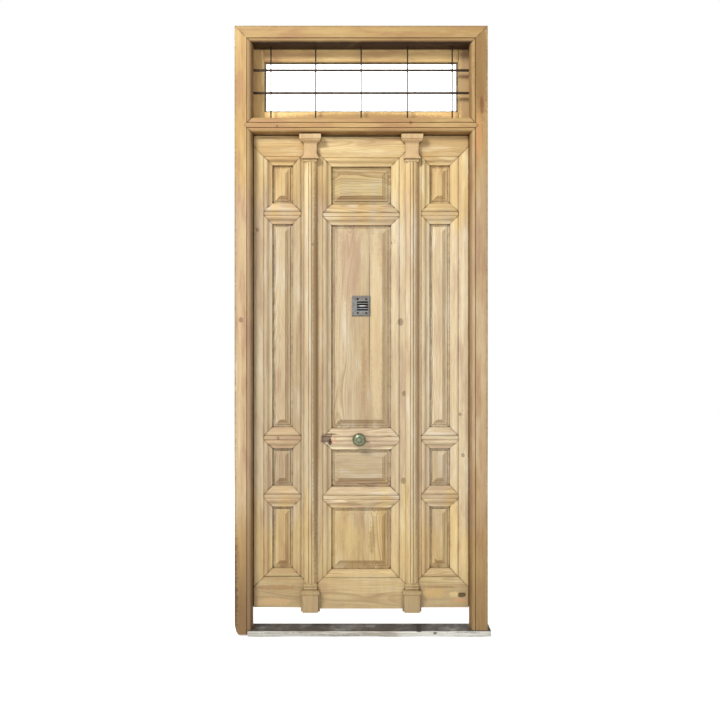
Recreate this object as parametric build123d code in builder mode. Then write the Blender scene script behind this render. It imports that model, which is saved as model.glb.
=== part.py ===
from build123d import *
import os

# An old pine front door in its frame: three panelled leaves under a barred fanlight.
# X runs to the right as seen from the street, Y into the house, Z up. Millimetres.
# The origin is the middle of the underside of the threshold.

# Frame: jambs, head and transom, with a quirk and an ovolo along each inner edge.
FRAME_FRONT = -50.0
FRAME_DEPTH = 100.0
FRAME_BACK = FRAME_FRONT + FRAME_DEPTH
FRAME_FACE = 87.0
SIGHT_HALF = 546.0
OUTER_HALF = SIGHT_HALF + FRAME_FACE
HEAD_SIGHT = 2967.0
FRAME_TOP = HEAD_SIGHT + FRAME_FACE
TRANSOM_LOW = 2518.5
TRANSOM_HIGH = 2596.5
STOP_Y = FRAME_FRONT + 60.0
REBATE = 14.0
OVOLO_WIDTH = 24.0
OVOLO_DROP = 14.0
QUIRK_WIDTH = 4.0
QUIRK_DEPTH = 4.0
FRAME_TENON_REACH = 622.0
PEG_X = 607.0
PEG_RADIUS = 5.0

# Threshold board: housed under the left jamb, running out past the right one.
THRESHOLD_LEFT = -568.0
THRESHOLD_RIGHT = 649.0
THRESHOLD_FRONT = FRAME_FRONT - 6.0
THRESHOLD_BACK = FRAME_BACK + 3.0
THRESHOLD_HIGH = 30.0
LEFT_JAMB_FOOT = 8.0

# Leaves: 50 mm thick, with a tongue that closes behind the stop of the frame.
LEAF_FACE = FRAME_FRONT + 48.0
LEAF_BACK = LEAF_FACE + 50.0
TONGUE_FRONT = STOP_Y + 1.0
TONGUE = 14.0
FRAME_GAP = 4.0
LEAF_BOTTOM = 130.0
LEAF_TOP = 2514.0
SIDE_EDGE = SIGHT_HALF + REBATE - FRAME_GAP
MEETING_LINE = 256.0
MEETING_GAP = 5.0
SIDE_SIGHT_OUTER = 450.0
SIDE_SIGHT_INNER = 346.0
CENTRE_SIGHT = 151.5
CENTRE_DROP = 6.0

# Sight lines of the panels from the bottom up, on the side leaves.
PANEL_SIGHTS = [(327.0, 639.0), (744.0, 934.0), (1040.0, 2070.0), (2174.0, 2367.0)]
PANEL_NAMES = ["bottom_panel", "small_panel", "long_panel", "top_panel"]
RAIL_NAMES = ["lower_rail", "lock_rail", "upper_rail"]

# Moulded edge of stiles and rails, measured outward from the sight line. A fine V groove
# parts the moulding from the flat.
LIP_WIDTH = 6.0
COVE_END = 20.0
RIDGE_AT = 31.0
MOULDING = 42.0
VALLEY_END = 57.0
GROOVE_LINE = 2.5
FLAT_START = 72.0
LIP_Y = LEAF_FACE + 8.0
VALLEY_Y = LEAF_FACE + 2.0
RIDGE_Y = LEAF_FACE - 4.0
GROOVE_DEPTH = 12.0
GROOVE_FRONT = LEAF_FACE + 20.0
GROOVE_BACK = LEAF_FACE + 32.0
BACK_BEVEL = 6.0

# Hidden mortise and tenon between rail and stile.
TENON_REACH = 36.0
TENON_HALF = 24.0
TENON_FRONT = LEAF_FACE + 19.0
TENON_BACK = LEAF_FACE + 34.0
END_TENON_NEAR = 24.0
END_TENON_FAR = 64.0
END_TENON_REACH = 74.0

# Raised panels: distances in from the sight line, and depths of each level.
WIDE_PANEL = (17.0, 20.5, 31.0, 43.0)
NARROW_PANEL = (14.0, 17.0, 26.5, 37.5)
STEP_Y = GROOVE_FRONT - 4.5
STRIP_Y = GROOVE_FRONT - 6.0
BEVEL_Y = GROOVE_FRONT - 8.0
EDGE_Y = GROOVE_FRONT - 10.0
FIELD_Y = GROOVE_FRONT - 12.0
PANEL_TONGUE = 10.0

# Pilasters over the two joints between the leaves, planted on the side leaves.
SHAFT_LOW = 258.0
SHAFT_HIGH = 2379.0
SHAFT_HALF = 32.0
CORE_HALF = 28.0
CORE_PROJECTION = 20.0
CAPITAL_TOP = 2515.0
PLINTH_BOTTOM = 112.0
BACKING_HALF = 48.0
BACKING_TOP = 206.0
BACKING_THICK = 10.0
LAP_CLEARANCE = 1.0

# Fanlight: a glazed sash planted behind the frame, and iron bars in front of it.
SASH_HALF = 576.0
SASH_BOTTOM = 2566.0
SASH_TOP = 2998.0
DAYLIGHT_HALF = 496.0
DAYLIGHT_BOTTOM = 2649.0
DAYLIGHT_TOP = 2906.0
SASH_THICK = 35.0
GLASS_THICK = 4.0
GLASS_LAP = 6.0
BAR_Y = FRAME_FRONT + 65.0
UPRIGHT_X = [-458.0, -231.0, 0.0, 235.0, 462.0]
UPRIGHT_RADIUS = 3.6
CROSSBAR_Z = [2735.0, 2850.0]
CROSSBAR_HIGH = 9.0
CROSSBAR_DEEP = 14.0
BAR_SOCKET = 14.0

# Butt hinges on the inside face.
PIVOT_Y = FRAME_FRONT + 107.0
JAMB_PIVOT_X = SIGHT_HALF + REBATE - FRAME_GAP / 2
KNUCKLE_RADIUS = 6.0
PIN_RADIUS = 3.0
PIN_CLEARANCE = 0.05
HINGE_HEIGHT = 100.0
KNUCKLES = 5
KNUCKLE_SPLIT = 0.4
HINGE_Z = [360.0, 1320.0, 2280.0]

# Knob, peephole and barrel bolt of the middle leaf.
KNOB_X = -10.0
LOCK_RAIL_Z = (934.0 + 1040.0) / 2 - CENTRE_DROP
KEYHOLE_X = -157.0
PEEPHOLE_Z = 1654.0
GRILLE_WIDE = 92.0
GRILLE_HIGH = 103.0
GRILLE_THICK = 3.0
SLOT_LEFT = -22.0
SLOT_RIGHT = 36.0
SLOT_HIGH = 7.5
SLOT_PITCH = 13.2
SLOT_COUNT = 4
PEEPHOLE_HALF_HIGH = 28.0
SHUTTER_PIVOT_X = 7.0
SHUTTER_PIVOT_Z = PEEPHOLE_Z + 45.0
BOLT_AXIS_Y = LEAF_BACK + 14.0
BOLT_RADIUS = 8.0
BOLT_END_X = -251.0
BOLT_LENGTH = 145.0
BOLT_KNOB_AT = 66.0


def at_back_of(y):
    """Upright plane at depth y, whose extrusions run towards the street."""
    return Plane.XZ.offset(-y)


def sticking(place):
    """Moulded edge of a leaf member, from its valley to the bevel at the back."""
    ThreePointArc(
        place(MOULDING, VALLEY_Y + GROOVE_LINE),
        place(RIDGE_AT, RIDGE_Y),
        place(COVE_END, VALLEY_Y),
    )
    ThreePointArc(place(COVE_END, VALLEY_Y), place(14.5, VALLEY_Y + 4.6), place(LIP_WIDTH, LIP_Y))
    Polyline(
        place(LIP_WIDTH, LIP_Y),
        place(0, LIP_Y),
        place(0, GROOVE_FRONT),
        place(GROOVE_DEPTH, GROOVE_FRONT),
        place(GROOVE_DEPTH, GROOVE_BACK),
        place(0, GROOVE_BACK),
        place(0, LEAF_BACK - BACK_BEVEL),
        place(BACK_BEVEL, LEAF_BACK),
    )


def outer_flat(place, width):
    """Flat outer part of a stile, top rail or bottom rail, beyond the moulding."""
    Polyline(
        place(BACK_BEVEL, LEAF_BACK),
        place(width, LEAF_BACK),
        place(width, LEAF_FACE),
        place(FLAT_START, LEAF_FACE),
        place(VALLEY_END, VALLEY_Y + 0.5),
        place(MOULDING + GROOVE_LINE, VALLEY_Y),
        place(MOULDING, VALLEY_Y + GROOVE_LINE),
    )


def rail_zone(outline, tenon_x, tenon_z):
    """Room that a rail takes up in a leaf: its outline on the face, and its tenons."""
    with BuildPart() as zone:
        with BuildSketch(at_back_of(LEAF_BACK + 1)):
            with BuildLine():
                Polyline(*outline, close=True)
            make_face()
        extrude(amount=LEAF_BACK - RIDGE_Y + 3)
        with BuildSketch(at_back_of(TENON_BACK)):
            with Locations((sum(tenon_x) / 2, sum(tenon_z) / 2)):
                Rectangle(tenon_x[1] - tenon_x[0], tenon_z[1] - tenon_z[0])
        extrude(amount=TENON_BACK - TENON_FRONT)
    return zone.part


def leaf_blank(left, right, bottom, top, rebated):
    """Outside of a leaf: a face, and a tongue behind it at the top and one side."""
    face_left = left + TONGUE if rebated == "left" else left
    face_right = right - TONGUE if rebated == "right" else right
    with BuildPart() as blank:
        with BuildSketch(at_back_of(LEAF_BACK)):
            with Locations(((left + right) / 2, (bottom + top + TONGUE) / 2)):
                Rectangle(right - left, top + TONGUE - bottom)
        extrude(amount=LEAF_BACK - TONGUE_FRONT)
        with BuildSketch(at_back_of(TONGUE_FRONT)):
            with Locations(((face_left + face_right) / 2, (bottom + top) / 2)):
                Rectangle(face_right - face_left, top - bottom)
        extrude(amount=TONGUE_FRONT - RIDGE_Y + 1)
    return blank.part


def leaf_stile(sight, side, width, bottom, top, zones, blank):
    """Upright of a leaf. side is 1 where its panels lie towards +X, else -1."""

    def place(out, y):
        return (sight - side * out, y)

    with BuildPart() as stile:
        with BuildSketch(Plane.XY.offset(bottom)):
            with BuildLine():
                sticking(place)
                outer_flat(place, width)
            make_face()
        extrude(amount=top + TONGUE - bottom)
        for zone in zones:
            add(zone, mode=Mode.SUBTRACT)
        add(blank, mode=Mode.INTERSECT)
    return stile.part


def end_rail(sight, direction, width, left, right, zone, blank):
    """Top rail (direction 1) or bottom rail (direction -1) of a leaf."""

    def place(out, y):
        return (y, sight + direction * out)

    with BuildPart() as rail:
        with BuildSketch(Plane.YZ.offset(left)):
            with BuildLine():
                sticking(place)
                outer_flat(place, width)
            make_face()
        extrude(amount=right - left)
        add(zone, mode=Mode.INTERSECT)
        add(blank, mode=Mode.INTERSECT)
    return rail.part


def cross_rail(low, high, left, right, zone):
    """Rail between two panels, moulded along both edges."""

    def place_low(out, y):
        return (y, low + out)

    def place_high(out, y):
        return (y, high - out)

    with BuildPart() as rail:
        with BuildSketch(Plane.YZ.offset(left)):
            with BuildLine():
                sticking(place_low)
                Line(place_low(BACK_BEVEL, LEAF_BACK), place_high(BACK_BEVEL, LEAF_BACK))
                sticking(place_high)
                Polyline(
                    place_high(MOULDING, VALLEY_Y + GROOVE_LINE),
                    place_high(MOULDING + GROOVE_LINE, VALLEY_Y),
                    place_low(MOULDING + GROOVE_LINE, VALLEY_Y),
                    place_low(MOULDING, VALLEY_Y + GROOVE_LINE),
                )
            make_face()
        extrude(amount=right - left)
        add(zone, mode=Mode.INTERSECT)
    return rail.part


def raised_panel(left, right, low, high, insets):
    """Panel with a tongue all round, and a strip, a bevel and a field that each stand proud."""
    step, strip, bevel, field = insets
    centre = ((left + right) / 2, (low + high) / 2)
    with BuildPart() as panel:
        with BuildSketch(at_back_of(GROOVE_BACK)):
            with Locations((centre[0], (low - GROOVE_DEPTH + high + PANEL_TONGUE) / 2)):
                Rectangle(right - left + 2 * PANEL_TONGUE, high - low + GROOVE_DEPTH + PANEL_TONGUE)
        extrude(amount=GROOVE_BACK - GROOVE_FRONT)
        for inset, y in [(step, STEP_Y), (bevel, BEVEL_Y), (field, FIELD_Y)]:
            with BuildSketch(at_back_of(GROOVE_FRONT)):
                with Locations(centre):
                    Rectangle(right - left - 2 * inset, high - low - 2 * inset)
            extrude(amount=GROOVE_FRONT - y)
        slopes = [(strip, STEP_Y, bevel, STRIP_Y), (bevel, BEVEL_Y, field, EDGE_Y)]
        for inset, y, next_inset, next_y in slopes:
            with BuildSketch(at_back_of(y)):
                with Locations(centre):
                    Rectangle(right - left - 2 * inset, high - low - 2 * inset)
            with BuildSketch(at_back_of(next_y)):
                with Locations(centre):
                    Rectangle(right - left - 2 * next_inset, high - low - 2 * next_inset)
            loft()
    return panel.part


def build_leaf(left, left_sight, right_sight, right, drop, rebated, insets):
    """All the wooden pieces of one leaf, by name."""
    bottom = LEAF_BOTTOM - drop
    top = LEAF_TOP - drop
    sights = [(low - drop, high - drop) for low, high in PANEL_SIGHTS]
    left_width = left_sight - left
    right_width = right - right_sight
    blank = leaf_blank(left, right, bottom, top, rebated)

    cross_zones = []
    for (_, low), (high, _) in zip(sights, sights[1:]):
        outline = [
            (left_sight, low),
            (left_sight - MOULDING, low + MOULDING),
            (left_sight - MOULDING, high - MOULDING),
            (left_sight, high),
            (right_sight, high),
            (right_sight + MOULDING, high - MOULDING),
            (right_sight + MOULDING, low + MOULDING),
            (right_sight, low),
        ]
        reach = MOULDING + TENON_REACH
        middle = (low + high) / 2
        zone = rail_zone(
            outline,
            (left_sight - reach, right_sight + reach),
            (middle - TENON_HALF, middle + TENON_HALF),
        )
        cross_zones.append((low, high, reach, zone))

    end_zones = {}
    for name, sight, direction, edge in [
        ("bottom_rail", sights[0][0], -1, bottom - TONGUE),
        ("top_rail", sights[-1][1], 1, top + 2 * TONGUE),
    ]:
        outline = [
            (left_sight, sight),
            (left, sight + direction * left_width),
            (left, edge),
            (right, edge),
            (right, sight + direction * right_width),
            (right_sight, sight),
        ]
        tenon_z = sorted((sight + direction * END_TENON_NEAR, sight + direction * END_TENON_FAR))
        tenon_x = (left_sight - END_TENON_REACH, right_sight + END_TENON_REACH)
        end_zones[name] = (sight, direction, abs(edge - sight), rail_zone(outline, tenon_x, tenon_z))

    pieces = {}
    all_zones = [zone for *_, zone in cross_zones] + [zone for *_, zone in end_zones.values()]
    pieces["left_stile"] = leaf_stile(left_sight, 1, left_width, bottom, top, all_zones, blank)
    pieces["right_stile"] = leaf_stile(right_sight, -1, right_width, bottom, top, all_zones, blank)
    for name, (sight, direction, width, zone) in end_zones.items():
        pieces[name] = end_rail(sight, direction, width, left, right, zone, blank)
    for name, (low, high, reach, zone) in zip(RAIL_NAMES, cross_zones):
        pieces[name] = cross_rail(low, high, left_sight - reach, right_sight + reach, zone)
    for name, (low, high) in zip(PANEL_NAMES, sights):
        pieces[name] = raised_panel(left_sight, right_sight, low, high, insets)
    return pieces


def joined(parts):
    """Like pieces kept as separate solids of one node."""
    with BuildPart() as group:
        for part in parts:
            add(part)
    return group.part


def drilled(part, tools):
    """The part with room cut for the pieces that are let into it."""
    with BuildPart() as result:
        add(part)
        for tool in tools:
            add(tool, mode=Mode.SUBTRACT)
    return result.part


def frame_edge(place):
    """Inner edge of a frame member on the street side: ovolo, quirk, start of the flat."""
    ThreePointArc(
        place(0, FRAME_FRONT + OVOLO_DROP),
        place(9.5, FRAME_FRONT + 2.9),
        place(OVOLO_WIDTH, FRAME_FRONT + 0.5),
    )
    Polyline(
        place(OVOLO_WIDTH, FRAME_FRONT + 0.5),
        place(OVOLO_WIDTH + QUIRK_WIDTH / 2, FRAME_FRONT + QUIRK_DEPTH),
        place(OVOLO_WIDTH + QUIRK_WIDTH, FRAME_FRONT),
    )


def frame_member(plane, length, place, rebated):
    """Jamb or head: one moulded edge, and a rebate for the leaves where rebated."""
    inner_back = [place(0, FRAME_BACK)]
    if rebated:
        inner_back = [place(REBATE, FRAME_BACK), place(REBATE, STOP_Y), place(0, STOP_Y)]
    with BuildPart() as member:
        with BuildSketch(plane):
            with BuildLine():
                frame_edge(place)
                Polyline(
                    place(OVOLO_WIDTH + QUIRK_WIDTH, FRAME_FRONT),
                    place(FRAME_FACE, FRAME_FRONT),
                    place(FRAME_FACE, FRAME_BACK),
                    *inner_back,
                    place(0, FRAME_FRONT + OVOLO_DROP),
                )
            make_face()
        extrude(amount=length)
    return member.part


def upright_slab(outline, front, back):
    """A slab with its outline on the face of the door, between two depths."""
    with BuildPart() as slab:
        with BuildSketch(at_back_of(back)):
            with BuildLine():
                Polyline(*outline, close=True)
            make_face()
        extrude(amount=back - front)
    return slab.part


def block(low, high):
    """Plain block between two corners."""
    with BuildPart() as result:
        with BuildSketch(Plane.XY.offset(low[2])):
            with Locations(((low[0] + high[0]) / 2, (low[1] + high[1]) / 2)):
                Rectangle(high[0] - low[0], high[1] - low[1])
        extrude(amount=high[2] - low[2])
    return result.part


def rod(plane, radius, length):
    """Round rod along the normal of a plane, from its origin."""
    with BuildPart() as result:
        with BuildSketch(plane):
            Circle(radius)
        extrude(amount=length)
    return result.part


def jamb_place(side):
    """Section of a jamb: side -1 is the left one."""

    def place(out, y):
        return (side * (SIGHT_HALF + out), y)

    return place


def head_place(out, y):
    return (y, HEAD_SIGHT + out)


def transom_low_place(out, y):
    return (y, TRANSOM_LOW + out)


def transom_high_place(out, y):
    return (y, TRANSOM_HIGH - out)


pieces = {}

# Fanlight bars: round uprights that pass through two flat crossbars.
uprights = []
for x in UPRIGHT_X:
    foot = Plane((x, BAR_Y, TRANSOM_HIGH - BAR_SOCKET))
    uprights.append(rod(foot, UPRIGHT_RADIUS, HEAD_SIGHT - TRANSOM_HIGH + 2 * BAR_SOCKET))
crossbars = []
for z in CROSSBAR_Z:
    reach = SIGHT_HALF + BAR_SOCKET
    low = (-reach, BAR_Y - CROSSBAR_DEEP / 2, z - CROSSBAR_HIGH / 2)
    high = (reach, BAR_Y + CROSSBAR_DEEP / 2, z + CROSSBAR_HIGH / 2)
    crossbars.append(drilled(block(low, high), uprights))
pieces["fanlight_uprights"] = joined(uprights)
pieces["fanlight_crossbars"] = joined(crossbars)

# Transom with pointed, mitred ends and tenons, pinned through the jambs.
half_point = (TRANSOM_HIGH - TRANSOM_LOW) / 2 - 2
transom_outline = [
    (-SIGHT_HALF, TRANSOM_LOW),
    (-SIGHT_HALF - half_point, TRANSOM_LOW + half_point),
    (-SIGHT_HALF - half_point, TRANSOM_HIGH - half_point),
    (-SIGHT_HALF, TRANSOM_HIGH),
    (SIGHT_HALF, TRANSOM_HIGH),
    (SIGHT_HALF + half_point, TRANSOM_HIGH - half_point),
    (SIGHT_HALF + half_point, TRANSOM_LOW + half_point),
    (SIGHT_HALF, TRANSOM_LOW),
]
transom_middle = (TRANSOM_LOW + TRANSOM_HIGH) / 2
with BuildPart() as transom_zone:
    add(upright_slab(transom_outline, FRAME_FRONT - 1, FRAME_BACK + 1))
    add(
        block(
            (-FRAME_TENON_REACH, FRAME_FRONT + 40, transom_middle - 20),
            (FRAME_TENON_REACH, FRAME_FRONT + 58, transom_middle + 20),
        )
    )
pegs = []
for side in (-1, 1):
    peg_plane = Plane((side * PEG_X, FRAME_FRONT + 75, transom_middle + 12), z_dir=(0, -1, 0))
    pegs.append(rod(peg_plane, PEG_RADIUS, 75))
pieces["transom_pegs"] = joined(pegs)

with BuildPart() as transom:
    with BuildSketch(Plane.YZ.offset(-FRAME_TENON_REACH)):
        with BuildLine():
            frame_edge(transom_low_place)
            frame_edge(transom_high_place)
            Line(
                transom_low_place(OVOLO_WIDTH + QUIRK_WIDTH, FRAME_FRONT),
                transom_high_place(OVOLO_WIDTH + QUIRK_WIDTH, FRAME_FRONT),
            )
            Polyline(
                transom_low_place(0, FRAME_FRONT + OVOLO_DROP),
                transom_low_place(0, STOP_Y),
                transom_low_place(REBATE, STOP_Y),
                transom_low_place(REBATE, FRAME_BACK),
                transom_high_place(0, FRAME_BACK),
                transom_high_place(0, FRAME_FRONT + OVOLO_DROP),
            )
        make_face()
    extrude(amount=2 * FRAME_TENON_REACH)
    add(transom_zone.part, mode=Mode.INTERSECT)
pieces["transom"] = drilled(transom.part, pegs + uprights)

# Head, mitred to the jambs.
head_outline = [
    (-SIGHT_HALF, HEAD_SIGHT),
    (-OUTER_HALF, FRAME_TOP),
    (OUTER_HALF, FRAME_TOP),
    (SIGHT_HALF, HEAD_SIGHT),
]
head_zone = upright_slab(head_outline, FRAME_FRONT - 1, FRAME_BACK + 1)
head = frame_member(Plane.YZ.offset(-OUTER_HALF), 2 * OUTER_HALF, head_place, rebated=False)
with BuildPart() as mitred_head:
    add(head)
    add(head_zone, mode=Mode.INTERSECT)
pieces["head"] = drilled(mitred_head.part, uprights)

# Jambs. The right one stands on the threshold. The left one is housed over its end,
# and its outer foot has rotted away to a rounded corner.
right_foot = Plane.XY.offset(THRESHOLD_HIGH)
right_jamb = frame_member(right_foot, FRAME_TOP - THRESHOLD_HIGH, jamb_place(1), rebated=True)
jamb_tools = [head_zone, transom_zone.part] + pegs + crossbars
pieces["jamb_right"] = drilled(right_jamb, jamb_tools)

left_foot = Plane.XY.offset(LEFT_JAMB_FOOT)
left_jamb = frame_member(left_foot, FRAME_TOP - LEFT_JAMB_FOOT, jamb_place(-1), rebated=True)
threshold_room = block(
    (THRESHOLD_LEFT, THRESHOLD_FRONT, 0),
    (0, THRESHOLD_BACK, THRESHOLD_HIGH),
)
with BuildPart() as rotted_corner:
    with BuildSketch(at_back_of(FRAME_BACK + 1)):
        with BuildLine():
            Spline(
                (-OUTER_HALF - 1, 66),
                (-OUTER_HALF + 3, 44),
                (-OUTER_HALF + 8, 26),
                (-OUTER_HALF + 20, LEFT_JAMB_FOOT - 1),
            )
            Polyline(
                (-OUTER_HALF + 20, LEFT_JAMB_FOOT - 1),
                (-OUTER_HALF - 1, LEFT_JAMB_FOOT - 1),
                (-OUTER_HALF - 1, 66),
            )
        make_face()
    extrude(amount=FRAME_DEPTH + 2)
pieces["jamb_left"] = drilled(left_jamb, jamb_tools + [threshold_room, rotted_corner.part])

# Threshold board, with a worn nose and a wavering lower front edge.
with BuildPart() as threshold:
    with BuildSketch(Plane.YZ.offset(THRESHOLD_LEFT)):
        with BuildLine():
            Polyline(
                (THRESHOLD_FRONT + 4, THRESHOLD_HIGH),
                (THRESHOLD_BACK, THRESHOLD_HIGH),
                (THRESHOLD_BACK, 0),
                (THRESHOLD_FRONT, 0),
                (THRESHOLD_FRONT, THRESHOLD_HIGH - 7),
            )
            ThreePointArc(
                (THRESHOLD_FRONT, THRESHOLD_HIGH - 7),
                (THRESHOLD_FRONT + 1, THRESHOLD_HIGH - 2.5),
                (THRESHOLD_FRONT + 4, THRESHOLD_HIGH),
            )
        make_face()
    extrude(amount=THRESHOLD_RIGHT - THRESHOLD_LEFT)
    with BuildSketch(at_back_of(THRESHOLD_FRONT + 26)):
        with BuildLine():
            Spline(
                (THRESHOLD_LEFT - 1, 3),
                (-430, 1.5),
                (-330, 5),
                (-160, 1.5),
                (20, 4),
                (190, 1),
                (330, 6),
                (470, 2),
                (THRESHOLD_RIGHT + 1, 4),
            )
            Polyline(
                (THRESHOLD_RIGHT + 1, 4),
                (THRESHOLD_RIGHT + 1, -2),
                (THRESHOLD_LEFT - 1, -2),
                (THRESHOLD_LEFT - 1, 3),
            )
        make_face()
    extrude(amount=40, mode=Mode.SUBTRACT)
pieces["threshold"] = threshold.part

# Sash behind the fanlight: stiles run through, rails between them, a groove for the glass.
SASH_FRONT = FRAME_BACK
SASH_BACK = SASH_FRONT + SASH_THICK
GLASS_Y = SASH_FRONT + 18.0
with BuildPart() as glass:
    with BuildSketch(at_back_of(GLASS_Y + GLASS_THICK)):
        with Locations((0, (DAYLIGHT_BOTTOM + DAYLIGHT_TOP) / 2)):
            Rectangle(2 * (DAYLIGHT_HALF + GLASS_LAP), DAYLIGHT_TOP - DAYLIGHT_BOTTOM + 2 * GLASS_LAP)
    extrude(amount=GLASS_THICK)
pieces["fanlight_glass"] = glass.part


def sash_bar(low, high, edges):
    """Sash member between two corners, with a bevel on its named front edges."""
    with BuildPart() as bar:
        with BuildSketch(Plane.XY.offset(low[2])):
            with Locations(((low[0] + high[0]) / 2, (low[1] + high[1]) / 2)):
                Rectangle(high[0] - low[0], high[1] - low[1])
        extrude(amount=high[2] - low[2])
        front = bar.faces().sort_by(Axis.Y)[0]
        chamfer(front.edges().sort_by(edges[0])[edges[1]], 5)
        add(glass.part, mode=Mode.SUBTRACT)
    return bar.part


sash_stiles = []
for x_outer, x_inner, pick in [(-SASH_HALF, -DAYLIGHT_HALF, -1), (SASH_HALF, DAYLIGHT_HALF, 0)]:
    low_x, high_x = sorted((x_outer, x_inner))
    sash_stiles.append(
        sash_bar((low_x, SASH_FRONT, SASH_BOTTOM), (high_x, SASH_BACK, SASH_TOP), (Axis.X, pick))
    )
sash_rails = []
for low_z, high_z, pick in [(SASH_BOTTOM, DAYLIGHT_BOTTOM, -1), (DAYLIGHT_TOP, SASH_TOP, 0)]:
    sash_rails.append(
        sash_bar(
            (-DAYLIGHT_HALF, SASH_FRONT, low_z),
            (DAYLIGHT_HALF, SASH_BACK, high_z),
            (Axis.Z, pick),
        )
    )
pieces["sash_stiles"] = joined(sash_stiles)
pieces["sash_rails"] = joined(sash_rails)

# The three leaves.
side_inner_edge = MEETING_LINE + MEETING_GAP / 2
centre_edge = MEETING_LINE - MEETING_GAP / 2
leaves = {
    "left": build_leaf(
        -SIDE_EDGE, -SIDE_SIGHT_OUTER, -SIDE_SIGHT_INNER, -side_inner_edge, 0, "left", NARROW_PANEL
    ),
    "centre": build_leaf(
        -centre_edge, -CENTRE_SIGHT, CENTRE_SIGHT, centre_edge, CENTRE_DROP, "none", WIDE_PANEL
    ),
    "right": build_leaf(
        side_inner_edge, SIDE_SIGHT_INNER, SIDE_SIGHT_OUTER, SIDE_EDGE, 0, "right", NARROW_PANEL
    ),
}
for side in ("left", "right"):
    rails = [leaves[side].pop(name) for name in RAIL_NAMES]
    leaves[side]["cross_rails"] = joined(rails)
for side, leaf in leaves.items():
    for name, part in leaf.items():
        pieces[f"{side}_leaf_{name}"] = part

# Small old mortise in the bottom rail of the right leaf.
mortise = block((491, LEAF_FACE - 1, 184), (527, LEAF_FACE + 9, 204))
pieces["right_leaf_bottom_rail"] = drilled(pieces["right_leaf_bottom_rail"], [mortise])


def capital_edge(place):
    """Profile of the capital from the abacus down to the ring under its bell."""

    def down(out, drop):
        return place(out, CAPITAL_TOP - drop)

    Polyline(down(26, 0), down(26, 24), down(21, 24), down(21, 32), down(18, 32))
    ThreePointArc(down(18, 32), down(8.5, 38), down(4.5, 49))
    Line(down(4.5, 49), down(3.5, 81))
    ThreePointArc(down(3.5, 81), down(6.3, 101), down(14, 116))
    Polyline(down(14, 116), down(14, 119), down(3, 121), down(3, 124))
    ThreePointArc(down(3, 124), down(6.5, 129), down(3, 134))
    Line(down(3, 134), place(3, SHAFT_HIGH))


def base_edge(place):
    """Profile of the base: two rings, a sloped cap and the plinth block."""

    def down(out, drop):
        return place(out, SHAFT_LOW - drop)

    Line(down(2, 0), down(2, 6))
    ThreePointArc(down(2, 6), down(6, 12.5), down(2, 19))
    ThreePointArc(down(2, 19), down(5.5, 26), down(2, 33))
    Polyline(
        down(2, 33),
        down(2, 36),
        down(17, 41),
        down(17, 52),
        down(11, 58),
        place(11, PLINTH_BOTTOM),
    )


def returned_moulding(centre_x, edge, high, low, top_out, bottom_out):
    """A moulding whose profile runs across the front and returns to the wall at both sides."""

    def right_side(out, z):
        return (centre_x + CORE_HALF + out, z)

    def left_side(out, z):
        return (centre_x - CORE_HALF - out, z)

    def projection(out, z):
        return (LEAF_FACE - CORE_PROJECTION - out, z)

    with BuildPart() as moulding:
        with BuildSketch(at_back_of(LEAF_FACE)):
            with BuildLine():
                edge(right_side)
                edge(left_side)
                Line(left_side(top_out, high), right_side(top_out, high))
                Line(left_side(bottom_out, low), right_side(bottom_out, low))
            make_face()
        extrude(amount=80)
        with BuildSketch(Plane.YZ.offset(centre_x - 80)):
            with BuildLine():
                edge(projection)
                Polyline(
                    projection(top_out, high),
                    (LEAF_FACE, high),
                    (LEAF_FACE, low),
                    projection(bottom_out, low),
                )
            make_face()
        extrude(amount=160, mode=Mode.INTERSECT)
    return moulding.part


def lap_room(side):
    """Clearance behind the half of a pilaster that laps over the middle leaf."""
    near, far = sorted((side * side_inner_edge, side * (side_inner_edge - 80)))
    return block((near, LEAF_FACE - LAP_CLEARANCE, 0), (far, LEAF_FACE + 1, FRAME_TOP))


for name, side in (("left", -1), ("right", 1)):
    centre_x = side * MEETING_LINE
    with BuildPart() as shaft:
        with BuildSketch(Plane.XY.offset(SHAFT_LOW)):
            with BuildLine():
                ThreePointArc(
                    (centre_x + 7.5, LEAF_FACE - 19),
                    (centre_x, LEAF_FACE - 27),
                    (centre_x - 7.5, LEAF_FACE - 19),
                )
                for hand in (-1, 1):
                    ThreePointArc(
                        (centre_x + hand * 9.5, LEAF_FACE - 22),
                        (centre_x + hand * 24, LEAF_FACE - 16.5),
                        (centre_x + hand * SHAFT_HALF, LEAF_FACE - 5),
                    )
                    Line(
                        (centre_x + hand * 9.5, LEAF_FACE - 22),
                        (centre_x + hand * 7.5, LEAF_FACE - 19),
                    )
                    Line(
                        (centre_x + hand * SHAFT_HALF, LEAF_FACE - 5),
                        (centre_x + hand * SHAFT_HALF, LEAF_FACE),
                    )
                Line((centre_x - SHAFT_HALF, LEAF_FACE), (centre_x + SHAFT_HALF, LEAF_FACE))
            make_face()
        extrude(amount=SHAFT_HIGH - SHAFT_LOW)
    backing = block(
        (centre_x - BACKING_HALF, LEAF_FACE - BACKING_THICK, PLINTH_BOTTOM),
        (centre_x + BACKING_HALF, LEAF_FACE, BACKING_TOP),
    )
    with BuildPart() as base:
        add(returned_moulding(centre_x, base_edge, SHAFT_LOW, PLINTH_BOTTOM, 2, 11))
        add(backing)
    capital = returned_moulding(centre_x, capital_edge, CAPITAL_TOP, SHAFT_HIGH, 26, 3)
    pieces[f"{name}_pilaster_shaft"] = drilled(shaft.part, [lap_room(side)])
    pieces[f"{name}_pilaster_base"] = drilled(base.part, [lap_room(side)])
    pieces[f"{name}_pilaster_capital"] = drilled(capital, [lap_room(side)])


# Hinges.
KNUCKLE_PITCH = HINGE_HEIGHT / KNUCKLES
HINGE_PLATE_FRONT = PIVOT_Y - 37.0
HINGE_PLATE_BACK = PIVOT_Y - 7.5


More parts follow.
